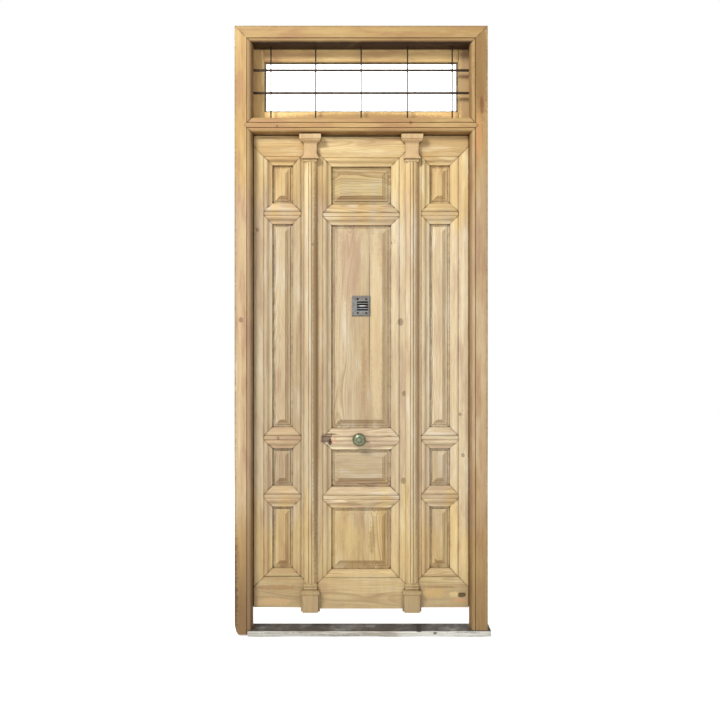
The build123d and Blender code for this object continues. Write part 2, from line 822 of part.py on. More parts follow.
def hinge_half(pivot_x, z, side, gap, first, bore):
    """One flap of a butt hinge with its knuckles. side is 1 where the flap lies at +X."""
    near = pivot_x + side * 0.2
    far = pivot_x + side * gap / 2
    flap_x = (near + far) / 2
    flap_thick = abs(far - near)
    with BuildPart() as half:
        with BuildSketch(Plane.XY.offset(z - HINGE_HEIGHT / 2)):
            with Locations((flap_x, (HINGE_PLATE_FRONT + HINGE_PLATE_BACK) / 2)):
                Rectangle(flap_thick, HINGE_PLATE_BACK - HINGE_PLATE_FRONT)
        extrude(amount=HINGE_HEIGHT)
        for index in range(first, KNUCKLES, 2):
            low = z - HINGE_HEIGHT / 2 + index * KNUCKLE_PITCH + KNUCKLE_SPLIT / 2
            with BuildSketch(Plane.XY.offset(low)):
                with Locations((pivot_x, PIVOT_Y)):
                    Circle(KNUCKLE_RADIUS)
                with Locations((flap_x, (HINGE_PLATE_BACK + PIVOT_Y) / 2)):
                    Rectangle(flap_thick, PIVOT_Y - HINGE_PLATE_BACK)
            extrude(amount=KNUCKLE_PITCH - KNUCKLE_SPLIT)
        with BuildSketch(Plane.XY.offset(z - HINGE_HEIGHT)):
            with Locations((pivot_x, PIVOT_Y)):
                Circle(bore)
        extrude(amount=2 * HINGE_HEIGHT, mode=Mode.SUBTRACT)
    return half.part


def hinge_pin(pivot_x, z):
    """Pin with a small domed head above and below the knuckles."""
    half_high = HINGE_HEIGHT / 2
    with BuildPart() as pin:
        with BuildSketch(Plane((pivot_x, PIVOT_Y, z), x_dir=(1, 0, 0), z_dir=(0, -1, 0))):
            with BuildLine():
                Polyline(
                    (0, -half_high - 5),
                    (4, -half_high - 5),
                    (5, -half_high - 0.2),
                    (PIN_RADIUS, -half_high - 0.2),
                    (PIN_RADIUS, half_high + 0.2),
                    (5, half_high + 0.2),
                    (4, half_high + 5),
                    (0, half_high + 5),
                    close=True,
                )
            make_face()
        revolve(axis=Axis((pivot_x, PIVOT_Y, z), (0, 0, 1)))
    return pin.part


fixed_bore = PIN_RADIUS
moving_bore = PIN_RADIUS + PIN_CLEARANCE
jamb_hinges = [(side, z) for side in (-1, 1) for z in HINGE_Z]
pieces["jamb_hinge_flaps"] = joined(
    [hinge_half(side * JAMB_PIVOT_X, z, side, FRAME_GAP, 0, fixed_bore) for side, z in jamb_hinges]
)
pieces["left_leaf_hinge_flaps"] = joined(
    [hinge_half(-JAMB_PIVOT_X, z, 1, FRAME_GAP, 1, moving_bore) for z in HINGE_Z]
)
pieces["right_leaf_hinge_flaps"] = joined(
    [hinge_half(JAMB_PIVOT_X, z, -1, FRAME_GAP, 1, moving_bore) for z in HINGE_Z]
    + [hinge_half(MEETING_LINE, z, 1, MEETING_GAP, 0, fixed_bore) for z in HINGE_Z]
)
pieces["centre_leaf_hinge_flaps"] = joined(
    [hinge_half(MEETING_LINE, z, -1, MEETING_GAP, 1, moving_bore) for z in HINGE_Z]
)
pieces["jamb_hinge_pins"] = joined([hinge_pin(side * JAMB_PIVOT_X, z) for side, z in jamb_hinges])
pieces["centre_hinge_pins"] = joined([hinge_pin(MEETING_LINE, z) for z in HINGE_Z])

# Domed knob on a short neck, with a ring and a small boss, and a spike into the lock rail.
with BuildPart() as knob:
    with BuildSketch(Plane((KNOB_X, 0, LOCK_RAIL_Z), x_dir=(1, 0, 0), z_dir=(0, 0, 1))):
        with BuildLine():
            Polyline((0, VALLEY_Y + 25), (6, VALLEY_Y + 25), (6, VALLEY_Y), (9, VALLEY_Y), (9, VALLEY_Y - 16))
            Spline(
                (9, VALLEY_Y - 16),
                (20, VALLEY_Y - 18.5),
                (32, VALLEY_Y - 24),
                (34, VALLEY_Y - 27.5),
                (32, VALLEY_Y - 32),
                (25, VALLEY_Y - 40),
                (15, VALLEY_Y - 45),
            )
            Polyline(
                (15, VALLEY_Y - 45),
                (14, VALLEY_Y - 43.5),
                (12.5, VALLEY_Y - 46),
                (6, VALLEY_Y - 48),
                (5, VALLEY_Y - 50.5),
                (3, VALLEY_Y - 51.5),
                (0, VALLEY_Y - 51.5),
                (0, VALLEY_Y + 25),
            )
        make_face()
    revolve(axis=Axis((KNOB_X, 0, LOCK_RAIL_Z), (0, 1, 0)))
pieces["knob"] = knob.part

# Lock rail of the middle leaf: room for the knob's spike, and the old keyhole, now plugged.
with BuildPart() as keyhole:
    with BuildSketch(at_back_of(VALLEY_Y + 10)):
        with Locations((KEYHOLE_X, LOCK_RAIL_Z - 3)):
            Circle(4.5)
        with Locations((KEYHOLE_X, LOCK_RAIL_Z - 10)):
            Rectangle(5, 13)
    extrude(amount=20)
pieces["centre_leaf_lock_rail"] = drilled(pieces["centre_leaf_lock_rail"], [knob.part, keyhole.part])

# Peephole: a slotted plate outside, a hole through the long panel, a hanging cover inside.
slot_middle = (SLOT_LEFT + SLOT_RIGHT) / 2
with BuildPart() as grille:
    with BuildSketch(at_back_of(FIELD_Y)):
        with Locations((0, PEEPHOLE_Z)):
            Rectangle(GRILLE_WIDE, GRILLE_HIGH)
    extrude(amount=GRILLE_THICK)
    with BuildSketch(at_back_of(FIELD_Y)):
        with Locations((slot_middle, PEEPHOLE_Z)):
            with GridLocations(0, SLOT_PITCH, 1, SLOT_COUNT):
                Rectangle(SLOT_RIGHT - SLOT_LEFT, SLOT_HIGH)
    extrude(amount=GRILLE_THICK, mode=Mode.SUBTRACT)
    for step in range(1 - SLOT_COUNT // 2, SLOT_COUNT // 2):
        bar_z = PEEPHOLE_Z + step * SLOT_PITCH
        with BuildSketch(Plane.YZ.offset(SLOT_LEFT)):
            with Locations((FIELD_Y - GRILLE_THICK + 0.2, bar_z)):
                Circle((SLOT_PITCH - SLOT_HIGH) / 2)
        extrude(amount=SLOT_RIGHT - SLOT_LEFT)
pieces["peephole_grille"] = grille.part

with BuildPart() as peephole:
    with BuildSketch(at_back_of(GROOVE_BACK + 1)):
        with Locations((slot_middle, PEEPHOLE_Z)):
            Rectangle(SLOT_RIGHT - SLOT_LEFT, 2 * PEEPHOLE_HALF_HIGH)
    extrude(amount=GROOVE_BACK - FIELD_Y + 2)
SHUTTER_FRONT = GROOVE_BACK + 0.3
SHUTTER_THICK = 4.0
with BuildPart() as shutter_screw:
    with BuildSketch(at_back_of(SHUTTER_FRONT + SHUTTER_THICK + 3.3)):
        with Locations((SHUTTER_PIVOT_X, SHUTTER_PIVOT_Z)):
            Circle(7)
    extrude(amount=3)
    with BuildSketch(at_back_of(SHUTTER_FRONT + SHUTTER_THICK + 0.3)):
        with Locations((SHUTTER_PIVOT_X, SHUTTER_PIVOT_Z)):
            Circle(PIN_RADIUS)
    extrude(amount=SHUTTER_THICK + 12)
pieces["shutter_screw"] = shutter_screw.part
pieces["centre_leaf_long_panel"] = drilled(
    pieces["centre_leaf_long_panel"], [peephole.part, shutter_screw.part]
)

with BuildPart() as shutter:
    with BuildSketch(at_back_of(SHUTTER_FRONT + SHUTTER_THICK)):
        with Locations((SHUTTER_PIVOT_X, PEEPHOLE_Z + 5)):
            RectangleRounded(72, 100, 9)
        with Locations((SHUTTER_PIVOT_X, SHUTTER_PIVOT_Z)):
            Circle(moving_bore, mode=Mode.SUBTRACT)
    extrude(amount=SHUTTER_THICK)
pieces["peephole_shutter"] = shutter.part

# Barrel bolt inside the middle leaf, drawn back, and its staple on the left leaf.
BOLT_PLATE_LEFT = -246.0
BOLT_PLATE_RIGHT = -138.0
BOLT_BORE = BOLT_RADIUS + PIN_CLEARANCE
STAPLE_HALF = BOLT_RADIUS + 1.2
STAPLE_THICK = 4.0


def bolt_bow(x_low, x_high):
    """Bow that holds the bolt: square at the foot, round over the top."""
    with BuildPart() as bow:
        with BuildSketch(Plane.YZ.offset(x_low)):
            with Locations((BOLT_AXIS_Y, LOCK_RAIL_Z)):
                Circle(BOLT_BORE + 4)
            with Locations(((BOLT_AXIS_Y + LEAF_BACK) / 2, LOCK_RAIL_Z)):
                Rectangle(BOLT_AXIS_Y - LEAF_BACK, 2 * BOLT_BORE + 8)
            with Locations((BOLT_AXIS_Y, LOCK_RAIL_Z)):
                Circle(BOLT_BORE, mode=Mode.SUBTRACT)
        extrude(amount=x_high - x_low)
    return bow.part


with BuildPart() as bolt_plate:
    add(
        block(
            (BOLT_PLATE_LEFT, LEAF_BACK, LOCK_RAIL_Z - 22),
            (BOLT_PLATE_RIGHT, LEAF_BACK + 2.5, LOCK_RAIL_Z + 22),
        )
    )
    add(bolt_bow(BOLT_PLATE_LEFT + 4, BOLT_PLATE_LEFT + 18))
    add(bolt_bow(BOLT_PLATE_RIGHT - 18, BOLT_PLATE_RIGHT - 4))
pieces["bolt_plate"] = bolt_plate.part

with BuildPart() as keeper:
    add(
        block(
            (-300, LEAF_BACK, LOCK_RAIL_Z - 22),
            (-262, LEAF_BACK + 2.5, LOCK_RAIL_Z + 22),
        )
    )
    with BuildSketch(Plane.YZ.offset(-290)):
        with Locations(((LEAF_BACK + BOLT_AXIS_Y + STAPLE_HALF + STAPLE_THICK) / 2, LOCK_RAIL_Z)):
            Rectangle(
                BOLT_AXIS_Y + STAPLE_HALF + STAPLE_THICK - LEAF_BACK,
                2 * (STAPLE_HALF + STAPLE_THICK),
            )
        with Locations((BOLT_AXIS_Y, LOCK_RAIL_Z)):
            Rectangle(2 * STAPLE_HALF, 2 * STAPLE_HALF, mode=Mode.SUBTRACT)
    extrude(amount=18)
    outer_edges = keeper.edges().filter_by(Axis.X).sort_by(Axis.Y)[-2:]
    fillet(outer_edges, 3)
pieces["bolt_keeper"] = keeper.part

with BuildPart() as bolt:
    with BuildSketch(Plane.YZ.offset(BOLT_END_X)):
        with Locations((BOLT_AXIS_Y, LOCK_RAIL_Z)):
            Circle(BOLT_RADIUS)
    extrude(amount=BOLT_LENGTH)
    chamfer(bolt.faces().sort_by(Axis.X)[0].edges(), 1.5)
    with BuildSketch(Plane.XZ.offset(-BOLT_AXIS_Y - 26)):
        with Locations((BOLT_END_X + BOLT_KNOB_AT, LOCK_RAIL_Z)):
            Circle(5)
    extrude(amount=26)
pieces["barrel_bolt"] = bolt.part

os.makedirs("parts", exist_ok=True)
for name, part in pieces.items():
    part.label = name
    export_step(part, f"parts/{name}.step")
print(len(pieces), "pieces written")
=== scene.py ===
# %% [markdown]
# # An old panelled front door
#
# The object is a tall front door of waxed old pine in its frame: three panelled leaves, two small
# pilasters, a barred fanlight and a weathered threshold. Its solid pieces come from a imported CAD
# model, which is loaded as a fixed frame. The wood and iron could be modelled again here, but then
# two models would have to be kept alike. So everything here is added around that frame, in metres,
# with X to the right, Y into the house and Z up, and no loaded piece is moved or reshaped.

import math
import random

import bmesh
import bpy
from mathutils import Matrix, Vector


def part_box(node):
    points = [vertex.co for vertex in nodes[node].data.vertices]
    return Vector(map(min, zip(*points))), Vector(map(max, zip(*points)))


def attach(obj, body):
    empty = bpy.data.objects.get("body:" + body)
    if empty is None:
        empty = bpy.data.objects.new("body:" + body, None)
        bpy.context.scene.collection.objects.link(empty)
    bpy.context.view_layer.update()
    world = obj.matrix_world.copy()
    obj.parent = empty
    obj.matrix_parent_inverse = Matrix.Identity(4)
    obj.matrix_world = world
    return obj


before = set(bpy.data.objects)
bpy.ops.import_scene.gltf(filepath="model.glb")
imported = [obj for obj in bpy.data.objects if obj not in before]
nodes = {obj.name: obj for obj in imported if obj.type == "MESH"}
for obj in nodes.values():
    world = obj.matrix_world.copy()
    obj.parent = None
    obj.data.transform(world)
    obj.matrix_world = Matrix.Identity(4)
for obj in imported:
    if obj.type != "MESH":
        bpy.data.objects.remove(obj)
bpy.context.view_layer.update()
dice = random.Random(1887)

# %% [markdown]
# ## Colours as a painter reads them
#
# Blender's colour sockets hold linear light, while a paint chart and a photograph are read on the
# sRGB scale from 0 to 255. The linear numbers could be typed in as they are, but nobody can
# compare 0.51 with a piece of wood. One small helper turns a chart value into a socket value
# instead, so that every colour below is written the way it looks.


# %% Turn chart colours into socket colours
def chart(red, green, blue):
    linear = []
    for value in (red, green, blue):
        share = value / 255
        linear.append(share / 12.92 if share <= 0.04045 else ((share + 0.055) / 1.055) ** 2.4)
    return (*linear, 1.0)


print("honey pine is", [round(v, 3) for v in chart(215, 190, 145)])

# %% [markdown]
# ## Writing shader nodes in a few words
#
# A shader is a tree of nodes whose sockets are joined by links. Adding a node, setting its values
# and linking its sockets takes many lines each time. The nodes could be joined by hand in the
# Shader Editor, but not for dozens of boards. So `place_node` adds a node and fills its inputs
# with numbers or links, and `reckon` adds a Math node and gives back its result. The other helpers
# are short names for what wood and metal need again and again.


# %% Helpers that place shader nodes
def place_node(tree, kind, inputs=None, **settings):
    made = tree.nodes.new(kind)
    for key, value in settings.items():
        setattr(made, key, value)
    for name, value in (inputs or {}).items():
        if isinstance(value, bpy.types.NodeSocket):
            tree.links.new(value, made.inputs[name])
        else:
            made.inputs[name].default_value = value
    return made


def reckon(tree, operation, *values, clamp=False):
    inputs = dict(enumerate(values))
    made = place_node(tree, "ShaderNodeMath", inputs, operation=operation, use_clamp=clamp)
    return made.outputs[0]


def vector_reckon(tree, operation, *values):
    made = place_node(tree, "ShaderNodeVectorMath", dict(enumerate(values)), operation=operation)
    return made.outputs["Value" if operation in ("LENGTH", "DOT_PRODUCT") else "Vector"]


def start_material(name):
    material = bpy.data.materials.new(name)
    material.use_nodes = True
    tree = material.node_tree
    return material, tree, tree.nodes["Principled BSDF"]


def add_object(name, data):
    made = bpy.data.objects.new(name, data)
    bpy.context.scene.collection.objects.link(made)
    return made


print("nodes, materials and objects can be added")


# %% Short names for the nodes that are used most
def blend_colour(tree, share, under, over, how="MIX"):
    made = place_node(
        tree, "ShaderNodeMix", {0: share, 6: under, 7: over}, data_type="RGBA", blend_type=how
    )
    return made.outputs[2]


def remap(tree, value, low, high, to_low=0.0, to_high=1.0, smooth=True):
    kind = "SMOOTHSTEP" if smooth else "LINEAR"
    made = place_node(
        tree,
        "ShaderNodeMapRange",
        {"Value": value, "From Min": low, "From Max": high, "To Min": to_low, "To Max": to_high},
        interpolation_type=kind,
    )
    return made.outputs["Result"]


def noise(tree, place, scale=1.0, detail=2.0, roughness=0.5):
    inputs = {"Vector": place, "Scale": scale, "Detail": detail, "Roughness": roughness}
    return place_node(tree, "ShaderNodeTexNoise", inputs)


def stretched_noise(tree, place, stretch, detail=2.0, roughness=0.5):
    stretched = vector_reckon(tree, "MULTIPLY", place, stretch)
    return noise(tree, stretched, detail=detail, roughness=roughness)


def split_place(tree, place):
    return place_node(tree, "ShaderNodeSeparateXYZ", {0: place}).outputs


def scaled(tree, vector, share):
    made = place_node(tree, "ShaderNodeVectorMath", {0: vector, 3: share}, operation="SCALE")
    return made.outputs[0]


def wavering(tree, value, broken, reach):
    return reckon(tree, "MULTIPLY_ADD", reckon(tree, "SUBTRACT", broken, 0.5), reach, value)


def openness(tree, distance, samples, inside=False):
    settings = {"inside": inside, "samples": samples}
    made = place_node(tree, "ShaderNodeAmbientOcclusion", {"Distance": distance}, **settings)
    return made.outputs["AO"]


def add_relief(tree, shader, height, strength, depth):
    inputs = {"Height": height, "Strength": strength, "Distance": depth}
    bump = place_node(tree, "ShaderNodeBump", inputs)
    tree.links.new(bump.outputs[0], shader.inputs["Normal"])


print("helpers for shader nodes are ready")

# %% [markdown]
# ## Node groups with named sockets
#
# An effect that several finishes share, such as wood grain, could be copied into every material,
# but then a change would have to be made in dozens of places. So it is built once as a node group
# and then placed in each material with its own values. In Blender 4.5 a group's sockets belong to
# its interface and are made with `interface.new_socket`. Most groups take a colour and a place on
# the surface, and give the colour back changed, so they can be strung together in any order.

# %% Start a node group
ON_SURFACE = [("Color", "colour", (0.5, 0.5, 0.5, 1)), ("Vector", "vector", (0, 0, 0))]
SOCKETS = {
    "number": "NodeSocketFloat",
    "colour": "NodeSocketColor",
    "vector": "NodeSocketVector",
}


def start_group(name, takes, gives):
    group = bpy.data.node_groups.new(name, "ShaderNodeTree")
    for label, kind, start in takes:
        made = group.interface.new_socket(name=label, in_out="INPUT", socket_type=SOCKETS[kind])
        made.default_value = start
    for label, kind in gives:
        group.interface.new_socket(name=label, in_out="OUTPUT", socket_type=SOCKETS[kind])
    taken = group.nodes.new("NodeGroupInput").outputs
    given = group.nodes.new("NodeGroupOutput").inputs
    return group, taken, given


def use_group(tree, group, inputs):
    return place_node(tree, "ShaderNodeGroup", inputs, node_tree=group).outputs


def pass_through(tree, group, colour, place, values):
    return use_group(tree, group, {"Color": colour, "Vector": place, **values})["Color"]


print("group sockets can hold", sorted(SOCKETS))

# %% [markdown]
# ## The grain of a pine board
#
# A trunk grows in rings around its pith, pale in spring and dark in autumn. A board is a flat
# slice through those rings, so straight lines, arches and ovals on its face all come from one
# thing: how far each point is from the pith. The group measures that distance in space, lets the
# pith wander slowly along the board, and cuts the distance into rings. The same pattern then runs
# on over a moulding or a board's end, as it does in real wood, where a flat wave texture would
# not.


# %% Node group for the grain of a board
PITH_SWAY = 0.15  # how far the pith wanders along a board, in metres
RING_RIPPLE = 0.0055  # how far a ring wavers
KNOT_PUSH = 0.02  # how far a knot pushes the rings aside
THROUGH_BOARD = 0.45  # rings change less through the board than across its face
GRAIN_MASKS = ("Autumn Wood", "Long Streaks", "Board Tone", "Fibres", "Patches")


def make_grain_group():
    takes = [
        ("Vector", "vector", (0, 0, 0)),
        ("Crosswise", "number", 0.0),
        ("Seed", "number", 0.0),
        ("Pith", "vector", (0, 0, 0)),
        ("Ring Width", "number", 0.003),
        ("Wander", "number", 1.0),
        ("Knot Push", "number", 0.0),
    ]
    gives = [(label, "number") for label in GRAIN_MASKS]
    tree, taken, given = start_group("pine grain", takes, gives)
    x, y, z = split_place(tree, taken["Vector"])
    turned = place_node(tree, "ShaderNodeCombineXYZ", {0: z, 1: y, 2: x}).outputs[0]
    inputs = {0: taken["Crosswise"], 4: taken["Vector"], 5: turned}
    along = place_node(tree, "ShaderNodeMix", inputs, data_type="VECTOR").outputs[1]
    inputs = {
        axis: reckon(tree, "MULTIPLY", taken["Seed"], step)
        for axis, step in enumerate((3.71, 1.93, 7.13))
    }
    apart = place_node(tree, "ShaderNodeCombineXYZ", inputs).outputs[0]
    own = vector_reckon(tree, "ADD", along, apart)

    slow = stretched_noise(tree, own, (2.4, 2.4, 1.15), detail=1.5)
    quick = stretched_noise(tree, own, (16.0, 16.0, 4.2), detail=2.5)
    middle = (0.5, 0.5, 0.5)
    sway = vector_reckon(tree, "SUBTRACT", slow.outputs["Color"], middle)
    sway = scaled(tree, sway, reckon(tree, "MULTIPLY", taken["Wander"], PITH_SWAY))
    ripple = vector_reckon(tree, "SUBTRACT", quick.outputs["Color"], middle)
    ripple = vector_reckon(tree, "MULTIPLY", ripple, (RING_RIPPLE, RING_RIPPLE, 0.0))
    from_pith = vector_reckon(tree, "SUBTRACT", along, taken["Pith"])
    from_pith = vector_reckon(tree, "ADD", from_pith, vector_reckon(tree, "ADD", sway, ripple))
    flat = vector_reckon(tree, "MULTIPLY", from_pith, (1.0, THROUGH_BOARD, 0.0))
    radius = vector_reckon(tree, "LENGTH", flat)
    pushed = reckon(tree, "MULTIPLY_ADD", taken["Knot Push"], KNOT_PUSH, radius)

    rings = reckon(tree, "DIVIDE", pushed, taken["Ring Width"])
    season = reckon(tree, "FRACT", rings)
    year = reckon(tree, "FLOOR", rings)
    rise = remap(tree, season, 0.30, 0.90)
    fall = remap(tree, season, 0.93, 1.0, 1.0, 0.0)
    chance = place_node(tree, "ShaderNodeTexWhiteNoise", {"W": year}, noise_dimensions="1D")
    harsh = remap(tree, chance.outputs["Value"], 0.0, 1.0, 0.45, 1.0, smooth=False)
    autumn = reckon(tree, "MULTIPLY", reckon(tree, "MULTIPLY", rise, fall), harsh)

    streaks = stretched_noise(tree, own, (48, 48, 1.3), detail=3.0)
    tone = stretched_noise(tree, own, (9, 9, 0.9))
    fibres = stretched_noise(tree, own, (520, 520, 14))
    patches = stretched_noise(tree, own, (21, 21, 3.4), detail=3.0, roughness=0.6)
    values = (
        autumn,
        remap(tree, streaks.outputs[0], 0.32, 0.68),
        remap(tree, tone.outputs[0], 0.30, 0.70),
        fibres.outputs[0],
        patches.outputs[0],
    )
    for label, value in zip(GRAIN_MASKS, values):
        tree.links.new(value, given[label])
    return tree


grain_group = make_grain_group()
print("grain group holds", len(grain_group.nodes), "nodes")

# %% [markdown]
# ## Knots
#
# A knot is a branch that the board cuts across, so it is dark, nearly round, and pushes the rings
# around it aside. A brown spot could be laid over the grain, but the rings would run straight on
# beside it, and that gives it away. So the group gives two things: a dark mask with a darker rim,
# where the bark grew in, and a soft push that is fed to the grain.


# %% Node group for a knot
def make_knot_group():
    takes = [
        ("Vector", "vector", (0, 0, 0)),
        ("Centre", "vector", (0, 0, 0)),
        ("Size", "number", 0.01),
    ]
    gives = [("Dark", "number"), ("Push", "number")]
    tree, taken, given = start_group("pine knot", takes, gives)
    away = vector_reckon(tree, "SUBTRACT", taken["Vector"], taken["Centre"])
    away = vector_reckon(tree, "MULTIPLY", away, (1.0, 0.0, 0.8))
    near = scaled(tree, away, reckon(tree, "DIVIDE", 1.0, taken["Size"]))
    ragged = noise(tree, near, scale=1.6).outputs[0]
    length = reckon(tree, "MULTIPLY_ADD", ragged, 0.5, vector_reckon(tree, "LENGTH", near))
    heart = reckon(tree, "MULTIPLY", remap(tree, length, 0.45, 1.35, 1.0, 0.0), 0.62)
    from_rim = reckon(tree, "ABSOLUTE", reckon(tree, "SUBTRACT", length, 1.0))
    rim = remap(tree, from_rim, 0.05, 0.3, 0.38, 0.0)
    dark = reckon(tree, "ADD", heart, rim, clamp=True)
    wide = vector_reckon(tree, "LENGTH", vector_reckon(tree, "MULTIPLY", near, (0.3, 0.0, 0.17)))
    push = remap(tree, wide, 0.0, 1.0, 1.0, 0.0)
    tree.links.new(dark, given["Dark"])
    tree.links.new(push, given["Push"])
    return tree


knot_group = make_knot_group()
print("knot group holds", len(knot_group.nodes), "nodes")

# %% [markdown]
# ## Patches where the surface has changed
#
# An old door has places with a story: a scar where a lock was taken off, a stain from a dripping
# joint, a foot that stood in the wet. They could be painted onto an image that is wrapped round
# the door, but an image blurs up close and has to travel with the file. Here each is a soft-edged
# ellipse on the face of the door whose edge is broken up by noise, so one group with a centre and
# a size serves all of them. A band is an ellipse that is much longer than the door.


# %% Node group for a ragged patch
def make_patch_group():
    takes = [
        ("Vector", "vector", (0, 0, 0)),
        ("Centre", "vector", (0, 0, 0)),
        ("Reach", "vector", (0.05, 1.0, 0.05)),
        ("Raggedness", "number", 0.6),
        ("Softness", "number", 0.5),
    ]
    tree, taken, given = start_group("ragged patch", takes, [("Mask", "number")])
    away = vector_reckon(tree, "SUBTRACT", taken["Vector"], taken["Centre"])
    near = vector_reckon(tree, "DIVIDE", away, taken["Reach"])
    near = vector_reckon(tree, "MULTIPLY", near, (1.0, 0.0, 1.0))
    ragged = noise(tree, taken["Vector"], scale=85.0, detail=4.0, roughness=0.6).outputs[0]
    shift = reckon(tree, "MULTIPLY", reckon(tree, "SUBTRACT", ragged, 0.5), taken["Raggedness"])
    length = reckon(tree, "MULTIPLY_ADD", shift, 2.0, vector_reckon(tree, "LENGTH", near))
    inner = reckon(tree, "SUBTRACT", 1.0, taken["Softness"])
    mask = remap(tree, length, inner, 1.0, 1.0, 0.0)
    tree.links.new(mask, given["Mask"])
    return tree


patch_group = make_patch_group()
print("patch group holds", len(patch_group.nodes), "nodes")

# %% [markdown]
# ## Dust and painted shade in corners, and the colour of edges
#
# Dust and old wax gather where two surfaces meet, and painted shade is laid in the same corners,
# where shade falls. Hands and cloths rub the proud edges paler, and on the leaves the same group
# draws the sharp edges dark instead, as dark joints and as painted shade along the lips. All of
# this needs to know how closed-in a point is. The corners could be marked one by one, but a door
# has hundreds of them. The Ambient Occlusion node finds them all: from outside it is dark in a
# corner, and from inside it is dark on a sharp edge. The node stays in the material, and these
# groups only turn its answer into colour, broken up by noise so that no edge is even. A third
# group lays painted shade on all faces that look one way, such as the underside of the head.


# %% Node groups for dust and painted shade in corners, edges, and painted shade on one side
def make_dirt_group():
    takes = [
        *ON_SURFACE,
        ("Openness", "number", 1.0),
        ("Darkening", "colour", chart(64, 42, 20)),
        ("Amount", "number", 0.7),
    ]
    gives = [("Color", "colour"), ("Cover", "number")]
    tree, taken, given = start_group("settled dirt", takes, gives)
    broken = noise(tree, taken["Vector"], scale=38.0, detail=4.0, roughness=0.62).outputs[0]
    edge = wavering(tree, taken["Openness"], broken, 0.5)
    closed = remap(tree, edge, 0.28, 0.76, 1.0, 0.0)
    cover = reckon(tree, "MULTIPLY", closed, taken["Amount"], clamp=True)
    tree.links.new(blend_colour(tree, cover, taken["Color"], taken["Darkening"]), given["Color"])
    tree.links.new(cover, given["Cover"])
    return tree


# Pale rubbed edges; given a dark colour, the same group draws dark joints and painted shade.
def make_edge_colour_group():
    takes = [
        *ON_SURFACE,
        ("Thickness", "number", 1.0),
        ("Edge Colour", "colour", chart(240, 222, 186)),
        ("Amount", "number", 0.5),
    ]
    tree, taken, given = start_group("rubbed, jointed and shaded edges", takes, [("Color", "colour")])
    broken = noise(tree, taken["Vector"], scale=60.0, detail=3.0).outputs[0]
    thin = remap(tree, taken["Thickness"], 0.25, 0.75, 1.0, 0.0)
    cover = reckon(tree, "MULTIPLY", thin, remap(tree, broken, 0.38, 0.62))
    cover = reckon(tree, "MULTIPLY", cover, taken["Amount"], clamp=True)
    tree.links.new(blend_colour(tree, cover, taken["Color"], taken["Edge Colour"]), given["Color"])
    return tree


# Painted shade on the faces that look one way, such as undersides and reveals.
def make_side_shade_group():
    takes = [
        *ON_SURFACE,
        ("Facing", "vector", (0, 0, -1)),
        ("From", "number", 0.25),
        ("To", "number", 0.85),
        ("Darkening", "colour", chart(70, 46, 22)),
        ("Amount", "number", 0.8),
    ]
    tree, taken, given = start_group("painted shade on one side", takes, [("Color", "colour")])
    normal = place_node(tree, "ShaderNodeNewGeometry").outputs["Normal"]
    turned = vector_reckon(tree, "DOT_PRODUCT", normal, taken["Facing"])
    broken = noise(tree, taken["Vector"], scale=11.0, detail=4.0, roughness=0.6).outputs[0]
    share = remap(tree, turned, taken["From"], taken["To"])
    share = reckon(tree, "MULTIPLY", share, remap(tree, broken, 0.2, 0.6, 0.7, 1.0))
    share = reckon(tree, "MULTIPLY", share, taken["Amount"], clamp=True)
    tree.links.new(blend_colour(tree, share, taken["Color"], taken["Darkening"]), given["Color"])
    return tree


dirt_group = make_dirt_group()
edge_colour_group = make_edge_colour_group()
side_shade_group = make_side_shade_group()
print("dirt, rub and grime groups are ready")

# %% [markdown]
# ## The colour of old pine
#
# Waxed pine is not one brown. Its spring wood runs from straw to honey, the autumn lines are
# orange brown, and long streaks turn yellow, cream or pinkish where resin and old wax have soaked
# in. One colour ramp over the grain would be quicker, but then tone and grain would change
# together, and on real wood they don't. So the group takes each mask of the grain by itself and
# mixes five colours.


# %% Node group for the colour of pine
def make_pine_colour_group():
    takes = [
        ("Autumn Wood", "number", 0.0),
        ("Long Streaks", "number", 0.5),
        ("Board Tone", "number", 0.5),
        ("Fibres", "number", 0.5),
        ("Patches", "number", 0.5),
        ("Knots", "number", 0.0),
        ("Cream", "colour", chart(236, 220, 180)),
        ("Straw", "colour", chart(228, 204, 158)),
        ("Honey", "colour", chart(213, 184, 134)),
        ("Rosy", "colour", chart(203, 168, 130)),
        ("Autumn", "colour", chart(172, 130, 82)),
        ("Contrast", "number", 0.6),
    ]
    tree, taken, given = start_group("old pine colours", takes, [("Color", "colour")])
    ground = blend_colour(tree, taken["Board Tone"], taken["Honey"], taken["Straw"])
    rosy = remap(tree, taken["Patches"], 0.52, 0.30, 0.0, 0.85)
    rosy = reckon(tree, "MULTIPLY_ADD", taken["Long Streaks"], 0.5, rosy, clamp=True)
    ground = blend_colour(tree, rosy, ground, taken["Rosy"])
    cream = remap(tree, taken["Patches"], 0.52, 0.72, 0.0, 0.6)
    ground = blend_colour(tree, cream, ground, taken["Cream"])
    lines = reckon(tree, "MULTIPLY", taken["Autumn Wood"], taken["Contrast"])
    ground = blend_colour(tree, lines, ground, taken["Autumn"])
    fine = remap(tree, taken["Fibres"], 0.3, 0.7, 0.9, 1.07, smooth=False)
    grey = place_node(tree, "ShaderNodeCombineColor", {0: fine, 1: fine, 2: fine}).outputs[0]
    ground = blend_colour(tree, 1.0, ground, grey, how="MULTIPLY")
    flecks = reckon(tree, "MULTIPLY", remap(tree, taken["Fibres"], 0.66, 0.74), 0.45)
    ground = blend_colour(tree, flecks, ground, taken["Autumn"])
    knots = reckon(tree, "MULTIPLY", taken["Knots"], 0.85)
    tree.links.new(blend_colour(tree, knots, ground, chart(82, 52, 30)), given["Color"])
    return tree


pine_colour_group = make_pine_colour_group()
print("pine colour group holds", len(pine_colour_group.nodes), "nodes")

# %% [markdown]
# ## Wet feet and sun-bleached middles
#
# The bottoms of the leaves have been rained and mopped on, so the wood there is greyer. The middle
# of the door is paler, because the sun reaches it and has taken the yellow out of the wax, while
# the top stays in the shadow of the opening. Both could be patches, but they change with height
# alone. So each is a group that fades in and out at given heights, along a border that wavers.


